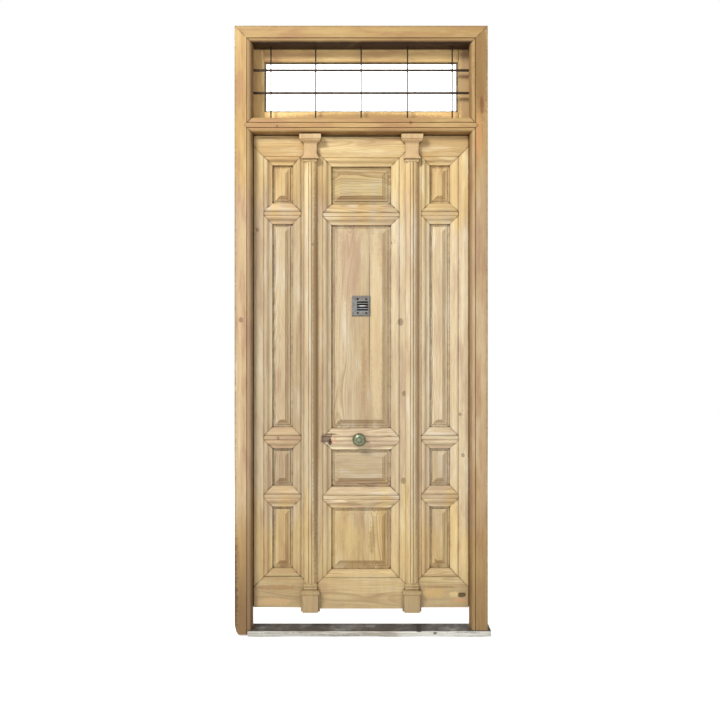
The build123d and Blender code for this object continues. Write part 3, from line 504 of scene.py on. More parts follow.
# %% Node groups for greyed feet and bleached middles
def make_foot_group():
    takes = [
        *ON_SURFACE,
        ("Height", "number", 0.3),
        ("Depth", "number", 0.12),
        ("Grey", "colour", chart(158, 143, 120)),
        ("Amount", "number", 0.6),
    ]
    tree, taken, given = start_group("greyed foot", takes, [("Color", "colour")])
    broken = stretched_noise(tree, taken["Vector"], (34, 34, 5), detail=3.0).outputs[0]
    wavy = wavering(tree, split_place(tree, taken["Vector"])[2], broken, 0.28)
    top = reckon(tree, "ADD", taken["Height"], taken["Depth"])
    low = remap(tree, wavy, taken["Height"], top, 1.0, 0.0)
    share = reckon(tree, "MULTIPLY", low, taken["Amount"], clamp=True)
    tree.links.new(blend_colour(tree, share, taken["Color"], taken["Grey"]), given["Color"])
    return tree


def make_sun_group():
    takes = [
        *ON_SURFACE,
        ("Low", "number", 0.75),
        ("High", "number", 2.02),
        ("Tint", "colour", (0.94, 1.0, 1.24, 1)),
        ("Amount", "number", 1.0),
    ]
    tree, taken, given = start_group("bleached by the sun", takes, [("Color", "colour")])
    broken = stretched_noise(tree, taken["Vector"], (12, 12, 1.6), detail=3.0).outputs[0]
    wavy = wavering(tree, split_place(tree, taken["Vector"])[2], broken, 1.1)
    above = remap(tree, wavy, reckon(tree, "SUBTRACT", taken["Low"], 0.3), taken["Low"])
    below = remap(tree, wavy, taken["High"], reckon(tree, "ADD", taken["High"], 0.25), 1.0, 0.0)
    share = reckon(tree, "MULTIPLY", reckon(tree, "MULTIPLY", above, below), taken["Amount"])
    faded = blend_colour(tree, 1.0, taken["Color"], taken["Tint"], how="MULTIPLY")
    tree.links.new(blend_colour(tree, share, taken["Color"], faded), given["Color"])
    return tree


foot_group = make_foot_group()
sun_group = make_sun_group()
print("greyed feet and bleached middles are ready")

# %% [markdown]
# ## Dark lines where rails and stiles meet
#
# Each rail ends in a mitre, and dust has made the joints into thin dark lines. The boards could be
# modelled with open gaps, but on the real door the joints are tight, and only their colour shows.
# A mitre lies where a point is as far out past the side of the panel as it is past the panel's top
# or bottom, so one formula draws them all. The tables give the heights between which each rail
# runs, and how far it reaches past the panel before it ends square. One table serves the leaves,
# the other the frame with its transom and head.


# %% Node groups for the lines of the joints
LEAF_RAILS = (
    (-9.0, 0.327, 1.0),
    (0.639, 0.744, 0.042),
    (0.934, 1.040, 0.042),
    (2.070, 2.174, 0.042),
    (2.367, 9.0, 1.0),
)
FRAME_RAILS = ((2.5185, 2.5965, 1.0), (2.967, 9.0, 1.0))
LINE_WIDTH = 0.005
LINE_WAVER = 0.006
HALF_ROOT = math.sqrt(0.5)


def make_joint_group(title, rails):
    takes = [
        *ON_SURFACE,
        ("Middle", "number", 0.0),
        ("Half", "number", 0.15),
        ("Drop", "number", 0.0),
        ("Darkening", "colour", chart(84, 56, 28)),
        ("Amount", "number", 0.7),
    ]
    tree, taken, given = start_group(title, takes, [("Color", "colour")])
    x, _, z = split_place(tree, taken["Vector"])
    aside = reckon(tree, "ABSOLUTE", reckon(tree, "SUBTRACT", x, taken["Middle"]))
    out = reckon(tree, "SUBTRACT", aside, taken["Half"])
    height = reckon(tree, "ADD", z, taken["Drop"])
    nearest = 1.0
    for low, high, end in rails:
        above = reckon(tree, "SUBTRACT", height, low)
        below = reckon(tree, "SUBTRACT", high, height)
        within = reckon(tree, "MINIMUM", above, below)
        mitre = reckon(tree, "MULTIPLY", reckon(tree, "SUBTRACT", within, out), HALF_ROOT)
        edge = reckon(tree, "MINIMUM", mitre, reckon(tree, "SUBTRACT", end, out))
        beyond = reckon(tree, "MULTIPLY", within, -1.0)
        away = reckon(tree, "MAXIMUM", reckon(tree, "ABSOLUTE", edge), beyond)
        nearest = reckon(tree, "MINIMUM", away, nearest)
    broken = noise(tree, taken["Vector"], scale=42.0, detail=4.0, roughness=0.65).outputs[0]
    ragged = wavering(tree, nearest, broken, LINE_WAVER)
    line = remap(tree, ragged, 0.0, LINE_WIDTH, 1.0, 0.0)
    line = reckon(tree, "MULTIPLY", line, taken["Amount"])
    line = reckon(tree, "MULTIPLY", line, remap(tree, broken, 0.35, 0.62, 1.0, 0.5))
    tree.links.new(blend_colour(tree, line, taken["Color"], taken["Darkening"]), given["Color"])
    return tree


leaf_joint_group = make_joint_group("joints of a leaf", LEAF_RAILS)
frame_joint_group = make_joint_group("joints of the frame", FRAME_RAILS)
print("joints:", len(LEAF_RAILS), "rails in a leaf,", len(FRAME_RAILS), "in the frame")

# %% [markdown]
# ## One board, one material
#
# No two boards of a door come from the same place in the same tree, and that is what makes the
# joints between them show. One pine material for all would be less work, but its lines would run
# on from board to board as if the door were cut from one plank. So each board gets a material of
# its own. They share the groups above, and differ in the direction of the grain, the place of the
# pith, the ring width and the colours. The groups are passed in the order in which a door ages,
# with painted shade laid in among them: sun and wet first, then stains, the colour of the edges
# and painted shade on the faces that look one way, and dust with painted shade in the corners
# last. A piece's own coordinates are used, so the pattern stays with the board when its leaf
# swings.

# %% What all boards have in common
EDGE_REACH = 0.0048  # how near two faces have to be to count as an edge, in metres
# The corner reach below is how wide dust and painted shade lie in a corner.
CORNER_REACH = 0.02  # how wide the dust lies in a corner
# Leaf boards get a dark colour on every sharp edge: dark joints where boards meet, and painted
# shade along the lips round the panels.
JOINT_AND_SHADE_EDGES = {"Edge Colour": chart(82, 54, 28), "Amount": 0.6}
RUBBED_EDGES = {"Edge Colour": chart(240, 218, 176), "Amount": 0.4}
LEAF_SUN = {"Tint": (0.95, 1.02, 1.32, 1), "High": 2.02}
LEAF_COLOURS = {
    "Cream": chart(234, 217, 176),
    "Straw": chart(225, 201, 147),
    "Honey": chart(209, 181, 126),
    "Rosy": chart(194, 163, 119),
    "Autumn": chart(146, 108, 62),
}
print("five colours for the leaves:", ", ".join(LEAF_COLOURS))


# %% Build the material of a board
def add_patches(tree, colour, place, patches):
    for centre, reach, tint, amount, ragged in patches:
        inputs = {
            "Vector": place,
            "Centre": (centre[0], 0, centre[1]),
            "Reach": (reach[0], 1, reach[1]),
            "Raggedness": ragged,
        }
        mask = use_group(tree, patch_group, inputs)["Mask"]
        colour = blend_colour(tree, reckon(tree, "MULTIPLY", mask, amount), colour, tint)
    return colour


def pine_board(
    name,
    crosswise,
    pith,
    ring_width=0.003,
    contrast=0.55,
    wander=1.0,
    colours=LEAF_COLOURS,
    knots=(),
    patches=(),
    foot=None,
    sun=LEAF_SUN,
    edges=JOINT_AND_SHADE_EDGES,
    shaded_side=None,
    joints=None,
    dirt=0.62,
    rough=0.62,
    gloss=0.3,
):
    material, tree, shader = start_material(name)
    shader.inputs["Specular IOR Level"].default_value = gloss
    place = place_node(tree, "ShaderNodeTexCoord").outputs["Object"]
    dark, push = 0.0, 0.0
    for x, z, size in knots:
        knot = use_group(tree, knot_group, {"Vector": place, "Centre": (x, 0, z), "Size": size})
        dark = reckon(tree, "MAXIMUM", knot["Dark"], dark)
        push = reckon(tree, "MAXIMUM", knot["Push"], push)
    inputs = {
        "Vector": place,
        "Crosswise": float(crosswise),
        "Seed": dice.uniform(0.5, 9.5),
        "Pith": pith,
        "Ring Width": ring_width,
        "Wander": wander,
        "Knot Push": push,
    }
    grain = use_group(tree, grain_group, inputs)
    masks = {label: grain[label] for label in GRAIN_MASKS}
    inputs = {**masks, **colours, "Knots": dark, "Contrast": contrast}
    colour = use_group(tree, pine_colour_group, inputs)["Color"]
    if sun:
        colour = pass_through(tree, sun_group, colour, place, sun)
    if foot:
        colour = pass_through(tree, foot_group, colour, place, foot)
    colour = add_patches(tree, colour, place, patches)
    thickness = openness(tree, EDGE_REACH, 6, inside=True)
    colour = pass_through(tree, edge_colour_group, colour, place, {"Thickness": thickness, **edges})
    # Painted shade on the faces that look one way.
    if shaded_side:
        colour = pass_through(tree, side_shade_group, colour, place, shaded_side)
    if joints:
        group, middle, half, drop = joints
        inputs = {"Middle": middle, "Half": half, "Drop": drop}
        colour = pass_through(tree, group, colour, place, inputs)
    # Dust and painted shade in the corners that the Ambient Occlusion node finds closed in.
    open_air = openness(tree, CORNER_REACH, 8)
    inputs = {"Color": colour, "Vector": place, "Openness": open_air, "Amount": dirt}
    dusted_and_shaded = use_group(tree, dirt_group, inputs)
    tree.links.new(dusted_and_shaded["Color"], shader.inputs["Base Color"])
    shine = remap(tree, grain["Autumn Wood"], 0.0, 1.0, rough, rough - 0.12, smooth=False)
    shine = reckon(tree, "MULTIPLY_ADD", dusted_and_shaded["Cover"], 0.2, shine, clamp=True)
    tree.links.new(shine, shader.inputs["Roughness"])
    height = reckon(tree, "MULTIPLY_ADD", grain["Autumn Wood"], 0.5, grain["Fibres"])
    height = reckon(tree, "MULTIPLY_ADD", dark, -0.6, height)
    add_relief(tree, shader, height, 0.35, 0.0006)
    return material


def dress(node_name, material):
    mesh_object = nodes[node_name]
    mesh_object.data.materials.clear()
    mesh_object.data.materials.append(material)


print("a board's material can be built")

# %% [markdown]
# ## Choosing the cut of each board
#
# A stile is sawn near the edge of the log, so its pith lies well to one side and the lines run
# straight. A panel is sawn flat across the log, so its pith lies just behind it and its face shows
# arches. The grain of each board could be turned by hand, but there are dozens of them. So the way
# a board runs is read from its name, and the pith is set off from the middle of its box.

# %% Where the pith of each board lies
CROSSWISE_NAMES = ("rail", "rails", "head", "transom", "threshold")


def runs_across(name):
    return name.split("_")[-1] in CROSSWISE_NAMES or name in (
        "centre_leaf_top_panel",
        "centre_leaf_small_panel",
    )


def pith_of(name, aside, behind):
    low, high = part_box(name)
    across = (low.z + high.z) / 2 if runs_across(name) else (low.x + high.x) / 2
    return (across + aside, (low.y + high.y) / 2 + behind, 0.0)


for sample in ("centre_leaf_long_panel", "centre_leaf_lock_rail"):
    way = "runs across" if runs_across(sample) else "runs upright"
    print(sample, way, pith_of(sample, 0, 0.05))

# %% [markdown]
# ## The three leaves
#
# The knots, stains and worn places are put where the real door has them. Scattering them at random
# would be easier, but it is these few marks that make it this door and not another. Their places
# are read off on the face of the door, in metres from the middle of the threshold's underside. A
# knot has an x, a height and a size. The joints are told where the middle of the panels lies, half
# their width, and how much lower the rails of that leaf are. The bevels that face down and to the
# right are painted a little browner, as painted shade that deepens the shade they lie in, and a
# band of painted shade runs down the right side of each pilaster and the stile beside it.

# %% Knots and worn places of the leaves
LEAF_KNOTS = {
    "left_leaf_left_stile": [(-0.524, 2.039, 0.009)],
    "centre_leaf_right_stile": [
        (0.199, 1.573, 0.016),
        (0.218, 1.211, 0.012),
        (0.214, 0.770, 0.014),
        (0.152, 1.974, 0.007),
    ],
    "right_leaf_right_stile": [(0.515, 0.899, 0.010), (0.500, 1.106, 0.008), (0.488, 2.440, 0.014)],
    "left_pilaster_shaft": [(-0.243, 1.964, 0.007)],
    "right_leaf_bottom_panel": [(0.378, 0.365, 0.006)],
    "left_leaf_cross_rails": [(-0.420, 0.985, 0.007)],
}
GREYED = {"Height": 0.06, "Depth": 0.36, "Grey": chart(170, 150, 120), "Amount": 0.55}
# Painted shade that deepens the shade on the bevels facing down and to the right.
SHADED_BEVELS = {
    "Facing": (0.62, 0.0, -0.78),
    "From": 0.05,
    "To": 0.15,
    "Darkening": chart(130, 96, 54),
    "Amount": 0.66,
}
# group, x of the middle of the panels, half their width, how much lower the rails are
LEAF_JOINTS = {
    "left": (leaf_joint_group, -0.398, 0.052, 0.0),
    "centre": (leaf_joint_group, 0.0, 0.1515, 0.006),
    "right": (leaf_joint_group, 0.398, 0.052, 0.0),
}
FRAME_JOINTS = (frame_joint_group, 0.0, 0.546, 0.0)
SCAR = chart(116, 92, 78)
# The olive colour is painted shade: a band down the right side of each pilaster shaft and on the
# stile beside it, where they turn away from the light.
PILASTER_SHADE = chart(150, 120, 80)
# (x, z) of the middle, reach along x and z, colour, how strongly it covers, raggedness of the edge
LEAF_PATCHES = {
    "left_pilaster_shaft": [((-0.231, 1.30), (0.018, 1.30), PILASTER_SHADE, 0.85, 0.35)],
    "left_pilaster_capital": [((-0.256, 2.45), (0.09, 0.09), chart(202, 164, 124), 0.55, 0.6)],
    "right_pilaster_capital": [((0.256, 2.45), (0.09, 0.09), chart(202, 164, 124), 0.55, 0.6)],
    "right_pilaster_shaft": [((0.281, 1.30), (0.014, 1.30), PILASTER_SHADE, 0.5, 0.35)],
    # Painted shade: a browner band on this stile, to the right of the right pilaster.
    "right_leaf_left_stile": [((0.288, 1.30), (0.022, 1.40), chart(196, 160, 116), 0.6, 0.4)],
    "centre_leaf_long_panel": [
        ((-0.060, 1.86), (0.070, 0.26), chart(186, 154, 126), 0.6, 0.7),
        ((0.078, 1.56), (0.040, 0.62), chart(232, 206, 158), 0.45, 0.5),
        ((-0.112, 1.56), (0.020, 0.60), chart(228, 210, 172), 0.4, 0.5),
        ((0.012, 1.36), (0.015, 0.24), chart(172, 138, 92), 0.5, 0.9),
        ((0.041, 1.62), (0.0030, 0.47), chart(104, 74, 42), 0.85, 0.15),
    ],
    "centre_leaf_bottom_panel": [
        ((0.055, 0.47), (0.020, 0.090), chart(150, 118, 74), 0.5, 0.9),
        ((-0.060, 0.50), (0.050, 0.100), chart(216, 190, 134), 0.4, 0.9),
    ],
    "centre_leaf_left_stile": [
        ((-0.226, 1.30), (0.016, 1.30), PILASTER_SHADE, 0.7, 0.35),
        ((-0.186, 0.982), (0.026, 0.034), SCAR, 0.85, 0.75),
        ((-0.157, 0.962), (0.008, 0.010), chart(70, 48, 36), 0.9, 0.5),
    ],
    "centre_leaf_lock_rail": [
        ((-0.176, 0.986), (0.034, 0.034), SCAR, 0.85, 0.75),
        ((-0.163, 1.006), (0.050, 0.006), chart(86, 58, 34), 0.8, 0.6),
        ((-0.135, 0.978), (0.014, 0.026), chart(222, 178, 146), 0.75, 0.6),
        ((-0.157, 0.962), (0.012, 0.014), chart(70, 48, 36), 0.9, 0.5),
    ],
    "left_leaf_bottom_rail": [
        ((-0.430, 0.232), (0.150, 0.016), chart(158, 116, 74), 0.55, 0.8),
        ((-0.440, 0.160), (0.120, 0.022), chart(214, 178, 130), 0.55, 0.8),
    ],
    "right_leaf_bottom_rail": [
        ((0.370, 0.205), (0.075, 0.030), chart(214, 178, 114), 0.6, 0.8),
        ((0.500, 0.166), (0.048, 0.010), chart(218, 160, 112), 0.6, 0.8),
        ((0.400, 0.234), (0.110, 0.008), chart(140, 104, 66), 0.5, 1.0),
        ((0.470, 0.196), (0.034, 0.018), chart(232, 206, 150), 0.6, 0.4),
        ((0.509, 0.194), (0.024, 0.016), chart(60, 42, 26), 0.6, 0.5),
    ],
}
print(sum(len(v) for v in LEAF_KNOTS.values()), "knots on the leaves")

# %% [markdown]
# ## Dozens of boards from one loop
#
# A joiner picks each board for its place, and light and wax then tone it for a century. A material
# for each could be written out, but they would all say nearly the same. So one table says how each
# kind of board is sawn, a second one gives the brightness and the warmth of the boards that stand
# out, and chance adds the small differences that remain.

# %% Dress every wooden piece of the leaves
SAWN = {
    "stile": {"aside": 0.13, "behind": 0.06, "ring_width": 0.0044, "contrast": 0.55},
    "rail": {"aside": 0.04, "behind": 0.10, "ring_width": 0.0042, "contrast": 0.55},
    "rails": {"aside": 0.04, "behind": 0.10, "ring_width": 0.0042, "contrast": 0.55},
    "panel": {"aside": 0.07, "behind": 0.09, "ring_width": 0.0050, "contrast": 0.62},
    "shaft": {"aside": 0.10, "behind": 0.12, "ring_width": 0.0030, "contrast": 0.45},
    "base": {"aside": 0.05, "behind": 0.08, "ring_width": 0.0034, "contrast": 0.45},
    "capital": {"aside": 0.05, "behind": 0.08, "ring_width": 0.0034, "contrast": 0.45},
}


def tinted(colours, factor, warmth=1.0):
    changed = {}
    for name, (red, green, blue, alpha) in colours.items():
        changed[name] = (red * factor * warmth, green * factor, blue * factor / warmth, alpha)
    return changed


TONES = {
    (1.30, 0.965): ["right_leaf_right_stile", "right_leaf_long_panel", "centre_leaf_lock_rail"],
    (1.20, 0.97): ["centre_leaf_right_stile", "right_leaf_left_stile"],
    (1.11, 0.995): [
        "left_pilaster_shaft",
        "right_pilaster_shaft",
        "centre_leaf_bottom_rail",
        "centre_leaf_lower_rail",
        "centre_leaf_top_rail",
        "right_leaf_cross_rails",
    ],
    (0.98, 1.045): [
        "left_leaf_cross_rails",
        "left_leaf_top_rail",
        "left_leaf_top_panel",
        "centre_leaf_upper_rail",
        "right_leaf_top_rail",
        "right_leaf_top_panel",
    ],
    (0.92, 1.01): [
        "left_leaf_right_stile",
        "left_leaf_small_panel",
        "left_leaf_bottom_panel",
        "centre_leaf_small_panel",
    ],
    (0.86, 1.0): [
        "left_leaf_bottom_rail",
        "left_pilaster_base",
        "right_pilaster_base",
        "centre_leaf_top_panel",
    ],
}
TONE_OF = {name: tone for tone, names in TONES.items() for name in names}
STRONG_GRAIN = {
    "centre_leaf_top_panel": {"ring_width": 0.0066, "contrast": 0.74},
    "centre_leaf_small_panel": {"ring_width": 0.0054, "contrast": 0.68},
}
leaf_pieces = [
    name
    for name in sorted(nodes)
    if name.split("_")[-1] in SAWN and "_" in name and not name.startswith("sash")
]
for name in leaf_pieces:
    cut = {**SAWN[name.split("_")[-1]], **STRONG_GRAIN.get(name, {})}
    factor, warmth = TONE_OF.get(name, (1.0, 1.0))
    aside = dice.choice((-1, 1)) * cut["aside"] * dice.uniform(0.6, 1.3)
    behind = cut["behind"] * dice.uniform(0.8, 1.2)
    ring_width = cut["ring_width"] * dice.uniform(0.85, 1.2)
    factor, warmth = factor * dice.uniform(0.98, 1.02), warmth * dice.uniform(0.992, 1.008)
    panel, pilaster = "panel" in name, "pilaster" in name
    material = pine_board(
        "pine_" + name,
        runs_across(name),
        pith_of(name, aside, behind),
        ring_width=ring_width,
        contrast=cut["contrast"],
        colours=tinted(LEAF_COLOURS, factor, warmth),
        knots=LEAF_KNOTS.get(name, ()),
        patches=LEAF_PATCHES.get(name, ()),
        foot=GREYED,
        dirt=0.9 if panel else 0.6,
        shaded_side=SHADED_BEVELS if panel else None,
        edges=RUBBED_EDGES if pilaster else JOINT_AND_SHADE_EDGES,
        joints=None if panel or pilaster else LEAF_JOINTS[name.split("_")[0]],
    )
    dress(name, material)
print("dressed", len(leaf_pieces), "pieces of the leaves")

# %% [markdown]
# ## The frame around them
#
# The frame was made of redder, more resinous wood than the leaves, and its right side is darker.
# The foot of the left jamb has stood in the wet, so it is brown and grey. The outer edges, where
# the frame met the wall, are dark and rough. The sash of the fanlight sits back in the shade of the
# head, so it gets paler colours as painted light, and painted shade on the side of the room takes
# that back. Every board gets its own wet foot, patches and sun, and painted shade on the faces that
# turn away from the light: the undersides of the head and transom, the inner faces of the jambs,
# and strips of the jambs, head and sash. The lines of the joints between jambs, head and transom
# come last.

# %% Colours and habits of the frame
FRAME_COLOURS = {
    "Cream": chart(226, 198, 142),
    "Straw": chart(214, 184, 124),
    "Honey": chart(198, 163, 104),
    "Rosy": chart(184, 144, 100),
    "Autumn": chart(142, 98, 54),
}
# Painted light: the sash gets paler colours than the frame, since it sits back in the shade of the
# head.
SASH_PAINTED_LIGHT_COLOURS = tinted(FRAME_COLOURS, 1.85, 0.955)
# Painted shade on the side of the room, which takes the sash's painted light back there.
ROOM_SIDE = {"Facing": (0, 1, 0), "Darkening": chart(164, 126, 74), "Amount": 0.62}
WET_FOOT = {"Height": 0.05, "Depth": 0.75, "Grey": chart(120, 92, 64), "Amount": 0.8}
# The next three are painted shade: on the faces that look down, such as the undersides of the head
# and transom, and on the inner faces of the two jambs.
UNDERSIDE_SHADE = {"Facing": (0, 0, -1), "Darkening": chart(50, 28, 6), "Amount": 1.25}
LEFT_REVEAL_SHADE = {"Facing": (1, 0, 0), "Darkening": chart(92, 62, 30), "Amount": 0.7}
RIGHT_REVEAL_SHADE = {"Facing": (-1, 0, 0), "Darkening": chart(92, 62, 30), "Amount": 0.5}
WALL_EDGE = chart(108, 82, 52)
JAMB_SUN = {"Tint": (1.06, 1.15, 1.56, 1), "High": 2.2}
print("redder pine:", ", ".join(FRAME_COLOURS))

# %% Dress the jambs, head, transom and sash
FRAME_BOARDS = {
    "jamb_left": dict(
        aside=-0.22,
        behind=0.06,
        ring_width=0.0035,
        contrast=0.42,
        knots=[(-0.601, 1.583, 0.012)],
        patches=[
            # Painted shade on the moulded inner strip of the left jamb, which faces away from the
            # light.
            ((-0.5635, 1.50), (0.013, 2.80), chart(150, 124, 98), 0.55, 0.3),
            ((-0.636, 1.50), (0.010, 2.80), WALL_EDGE, 0.6, 0.8),
            ((-0.640, 0.22), (0.026, 0.42), chart(84, 68, 50), 0.7, 0.9),
        ],
        foot=WET_FOOT,
        sun=JAMB_SUN,
        shaded_side=LEFT_REVEAL_SHADE,
    ),
    "jamb_right": dict(
        aside=0.20,
        behind=0.08,
        ring_width=0.0035,
        contrast=0.45,
        colours=tinted(FRAME_COLOURS, 0.86, 1.02),
        patches=[
            ((0.600, 2.86), (0.050, 0.34), chart(140, 106, 64), 0.75, 0.5),
            ((0.604, 2.66), (0.012, 0.06), chart(120, 66, 40), 0.6, 0.6),
            ((0.590, 2.50), (0.018, 0.16), chart(214, 150, 100), 0.55, 0.5),
            ((0.636, 1.50), (0.010, 2.80), WALL_EDGE, 0.6, 0.8),
        ],
        foot=dict(WET_FOOT, Amount=0.5),
        sun=JAMB_SUN,
        shaded_side=RIGHT_REVEAL_SHADE,
    ),
    "head": dict(
        aside=0.10,
        behind=0.08,
        ring_width=0.0040,
        contrast=0.4,
        colours=tinted(FRAME_COLOURS, 0.88, 1.0),
        patches=[
            # Painted shade along the lower moulded strip of the head, which faces down.
            ((0.0, 2.984), (1.6, 0.010), chart(140, 108, 66), 0.4, 0.3),
            ((0.0, 3.056), (1.6, 0.008), WALL_EDGE, 0.6, 0.8),
        ],
        shaded_side=UNDERSIDE_SHADE,
    ),
    "transom": dict(
        aside=-0.06,
        behind=0.07,
        ring_width=0.0040,
        contrast=0.5,
        knots=[(0.248, 2.570, 0.008), (-0.42, 2.552, 0.006)],
        shaded_side=dict(UNDERSIDE_SHADE, Darkening=chart(122, 88, 44), Amount=1.0),
    ),
    "transom_pegs": dict(aside=0.02, behind=0.03, ring_width=0.0020, contrast=0.6),
    "sash_rails": dict(
        aside=0.07,
        behind=0.06,
        ring_width=0.0034,
        contrast=0.4,
        colours=SASH_PAINTED_LIGHT_COLOURS,
        shaded_side=ROOM_SIDE,
        # Painted shade along the bottom rail of the sash.
        patches=[((0.0, 2.60), (0.62, 0.06), chart(176, 142, 94), 0.85, 0.3)],
    ),
    "sash_stiles": dict(
        aside=0.12,
        behind=0.06,
        ring_width=0.0034,
        contrast=0.4,
        colours=SASH_PAINTED_LIGHT_COLOURS,
        shaded_side=ROOM_SIDE,
        # Painted shade on the right stile of the sash.
        patches=[((0.545, 2.78), (0.07, 0.30), chart(178, 150, 112), 0.75, 0.3)],
    ),
}
FRAME_HABITS = {"colours": FRAME_COLOURS, "edges": RUBBED_EDGES, "dirt": 0.48, "wander": 0.5}
for name, cut in FRAME_BOARDS.items():
    made = {**FRAME_HABITS, **cut}
    pith = pith_of(name, made.pop("aside"), made.pop("behind"))
    made["joints"] = FRAME_JOINTS if name.split("_")[0] in ("jamb", "head", "transom") else None
    dress(name, pine_board("pine_" + name, runs_across(name), pith, **made))
print("dressed", len(FRAME_BOARDS), "pieces of the frame")

# %% [markdown]
# ## The weathered threshold
#
# The board under the door has lost its wax and gone silver grey, with dark cracks along the grain.
# Its top lies in the shade under the leaves, and that shade is painted on it in dark brown. Stone
# or concrete would look much like it from afar, but close by the grain tells that it is wood. So it
# is the same pine board with grey in place of honey. Its gloss is nearly nothing, because dry grey
# fibres scatter light every way. The thin patches are splits, far longer than they are high.

# %% Dress the threshold
GREY_COLOURS = {
    "Cream": chart(200, 200, 194),
    "Straw": chart(196, 196, 190),
    "Honey": chart(170, 170, 164),
    "Rosy": chart(142, 137, 128),
    "Autumn": chart(82, 76, 68),
}
dress(
    "threshold",
    pine_board(
        "weathered_threshold",
        True,
        pith_of("threshold", 0.04, 0.03),
        ring_width=0.0042,
        contrast=0.75,
        colours=tinted(GREY_COLOURS, 1.9),
        sun=None,
        edges={"Edge Colour": chart(196, 194, 186), "Amount": 0.4},
        # Painted shade on the top of the threshold, under the leaves.
        shaded_side={"Facing": (0, 0, 1), "Darkening": chart(58, 49, 40), "Amount": 0.94},
        patches=[
            ((0.369, 0.018), (0.012, 0.008), chart(66, 58, 50), 0.8, 0.8),
            ((0.290, 0.028), (0.018, 0.006), chart(58, 48, 40), 0.8, 0.8),
            ((-0.120, 0.010), (0.160, 0.004), chart(96, 90, 82), 0.5, 1.4),
            ((0.520, 0.022), (0.090, 0.003), chart(74, 68, 60), 0.5, 1.4),
            ((-0.410, 0.020), (0.120, 0.003), chart(84, 78, 70), 0.5, 1.4),
        ],
        dirt=0.9,
        rough=0.85,
        gloss=0.08,
    ),
)
print("dressed the threshold")

# %% [markdown]
# ## Iron, bronze and glass
#
# Old ironwork is nearly black, dull, and browned by rust in soft blotches. The knob is bronze that
# has gone green where nobody's hand reaches and is still bright on its crown. The slotted plate of
# the peephole was once painted grey; it carries a painted highlight across its middle bars and
# painted shadows along its right and bottom edges. A fully metallic shader would mirror the white
# room and look new, so each metal is only partly metallic, because rust, tarnish and paint are not
# metal any more. One function makes all three: a ground, blotches over it, bare metal on the edges,
# dirt and painted shade in the corners, and a roughness that changes from spot to spot.


# %% Build a metal that has aged
METAL_EDGE_REACH = 0.004
METAL_CORNER_REACH = 0.012
# Soot and painted shade in the corners of the metal.
SOOT_AND_SHADE = chart(40, 32, 24)


def aged_metal(name, ground, worn, blotch, metal, rough, size=45.0, rub=0.5, patches=()):
    material, tree, shader = start_material(name)
    shader.inputs["Metallic"].default_value = metal
    place = place_node(tree, "ShaderNodeTexCoord").outputs["Object"]
    broad = noise(tree, place, scale=size, detail=5.0, roughness=0.65).outputs[0]
    fine = noise(tree, place, scale=420.0, detail=3.0).outputs[0]
    colour = blend_colour(tree, remap(tree, broad, 0.42, 0.66), ground, blotch)
    colour = add_patches(tree, colour, place, patches)
    thickness = openness(tree, METAL_EDGE_REACH, 6, inside=True)
    inputs = {"Thickness": thickness, "Edge Colour": worn, "Amount": rub}
    colour = pass_through(tree, edge_colour_group, colour, place, inputs)
    # Soot and painted shade in the corners that the Ambient Occlusion node finds closed in.
    open_air = openness(tree, METAL_CORNER_REACH, 8)
    inputs = {"Openness": open_air, "Darkening": SOOT_AND_SHADE, "Amount": 0.7}
    colour = pass_through(tree, dirt_group, colour, place, inputs)
    tree.links.new(colour, shader.inputs["Base Color"])
    dull = remap(tree, fine, 0.3, 0.7, rough - 0.1, rough + 0.12, smooth=False)
    tree.links.new(dull, shader.inputs["Roughness"])
    height = reckon(tree, "MULTIPLY_ADD", fine, 0.4, broad)
    add_relief(tree, shader, height, 0.4, 0.0004)
    return material


black_iron = aged_metal(
    "black_iron",
    chart(46, 38, 32),
    chart(120, 104, 86),
    chart(78, 54, 36),
    0.55,
    0.62,
    rub=0.35,
)
bronze = aged_metal(
    "green_bronze",
    chart(112, 112, 88),
    chart(206, 206, 176),
    chart(136, 148, 122),
    0.7,
    0.36,
    size=80.0,
)
# Painted light on the plate: a darker band along the top, a pale bluish patch and a painted
# highlight across the middle bars, and painted shadows along its right and bottom edges.
PLATE_SHADE_AND_HIGHLIGHTS = [
    ((0.0, 1.700), (0.20, 0.016), chart(112, 102, 98), 0.7, 0.6),
    ((0.004, 1.640), (0.030, 0.014), chart(140, 152, 166), 0.6, 0.5),
    ((0.004, 1.657), (0.024, 0.006), chart(244, 246, 252), 0.85, 0.4),
    ((0.0445, 1.655), (0.006, 0.30), chart(72, 60, 50), 0.85, 0.5),
    ((0.0, 1.605), (0.30, 0.005), chart(80, 76, 64), 0.85, 0.5),
]
grille_grey = aged_metal(
    "grille_grey",
    chart(132, 132, 129),
    chart(226, 227, 228),
    chart(98, 96, 92),
    0.35,
    0.45,
    size=120.0,
    rub=0.2,
    patches=PLATE_SHADE_AND_HIGHLIGHTS,
)
for name in nodes:
    if "hinge" in name or name in (
        "fanlight_uprights",
        "fanlight_crossbars",
        "bolt_plate",
        "bolt_keeper",
        "barrel_bolt",
        "peephole_shutter",
        "shutter_screw",
    ):
        dress(name, black_iron)
dress("knob", bronze)
dress("peephole_grille", grille_grey)
print("metals: iron, bronze and grey-painted plate")

# %% [markdown]
# ## The pane of the fanlight
#
# Old window glass is clear, with a film of dust that nobody can reach behind the bars. A plain
# transparent shader would be quicker, but it wouldn't bend the light or mirror the sky. The
# Principled shader with full transmission does both, and noise makes the dusty parts a shade
# yellower and duller.


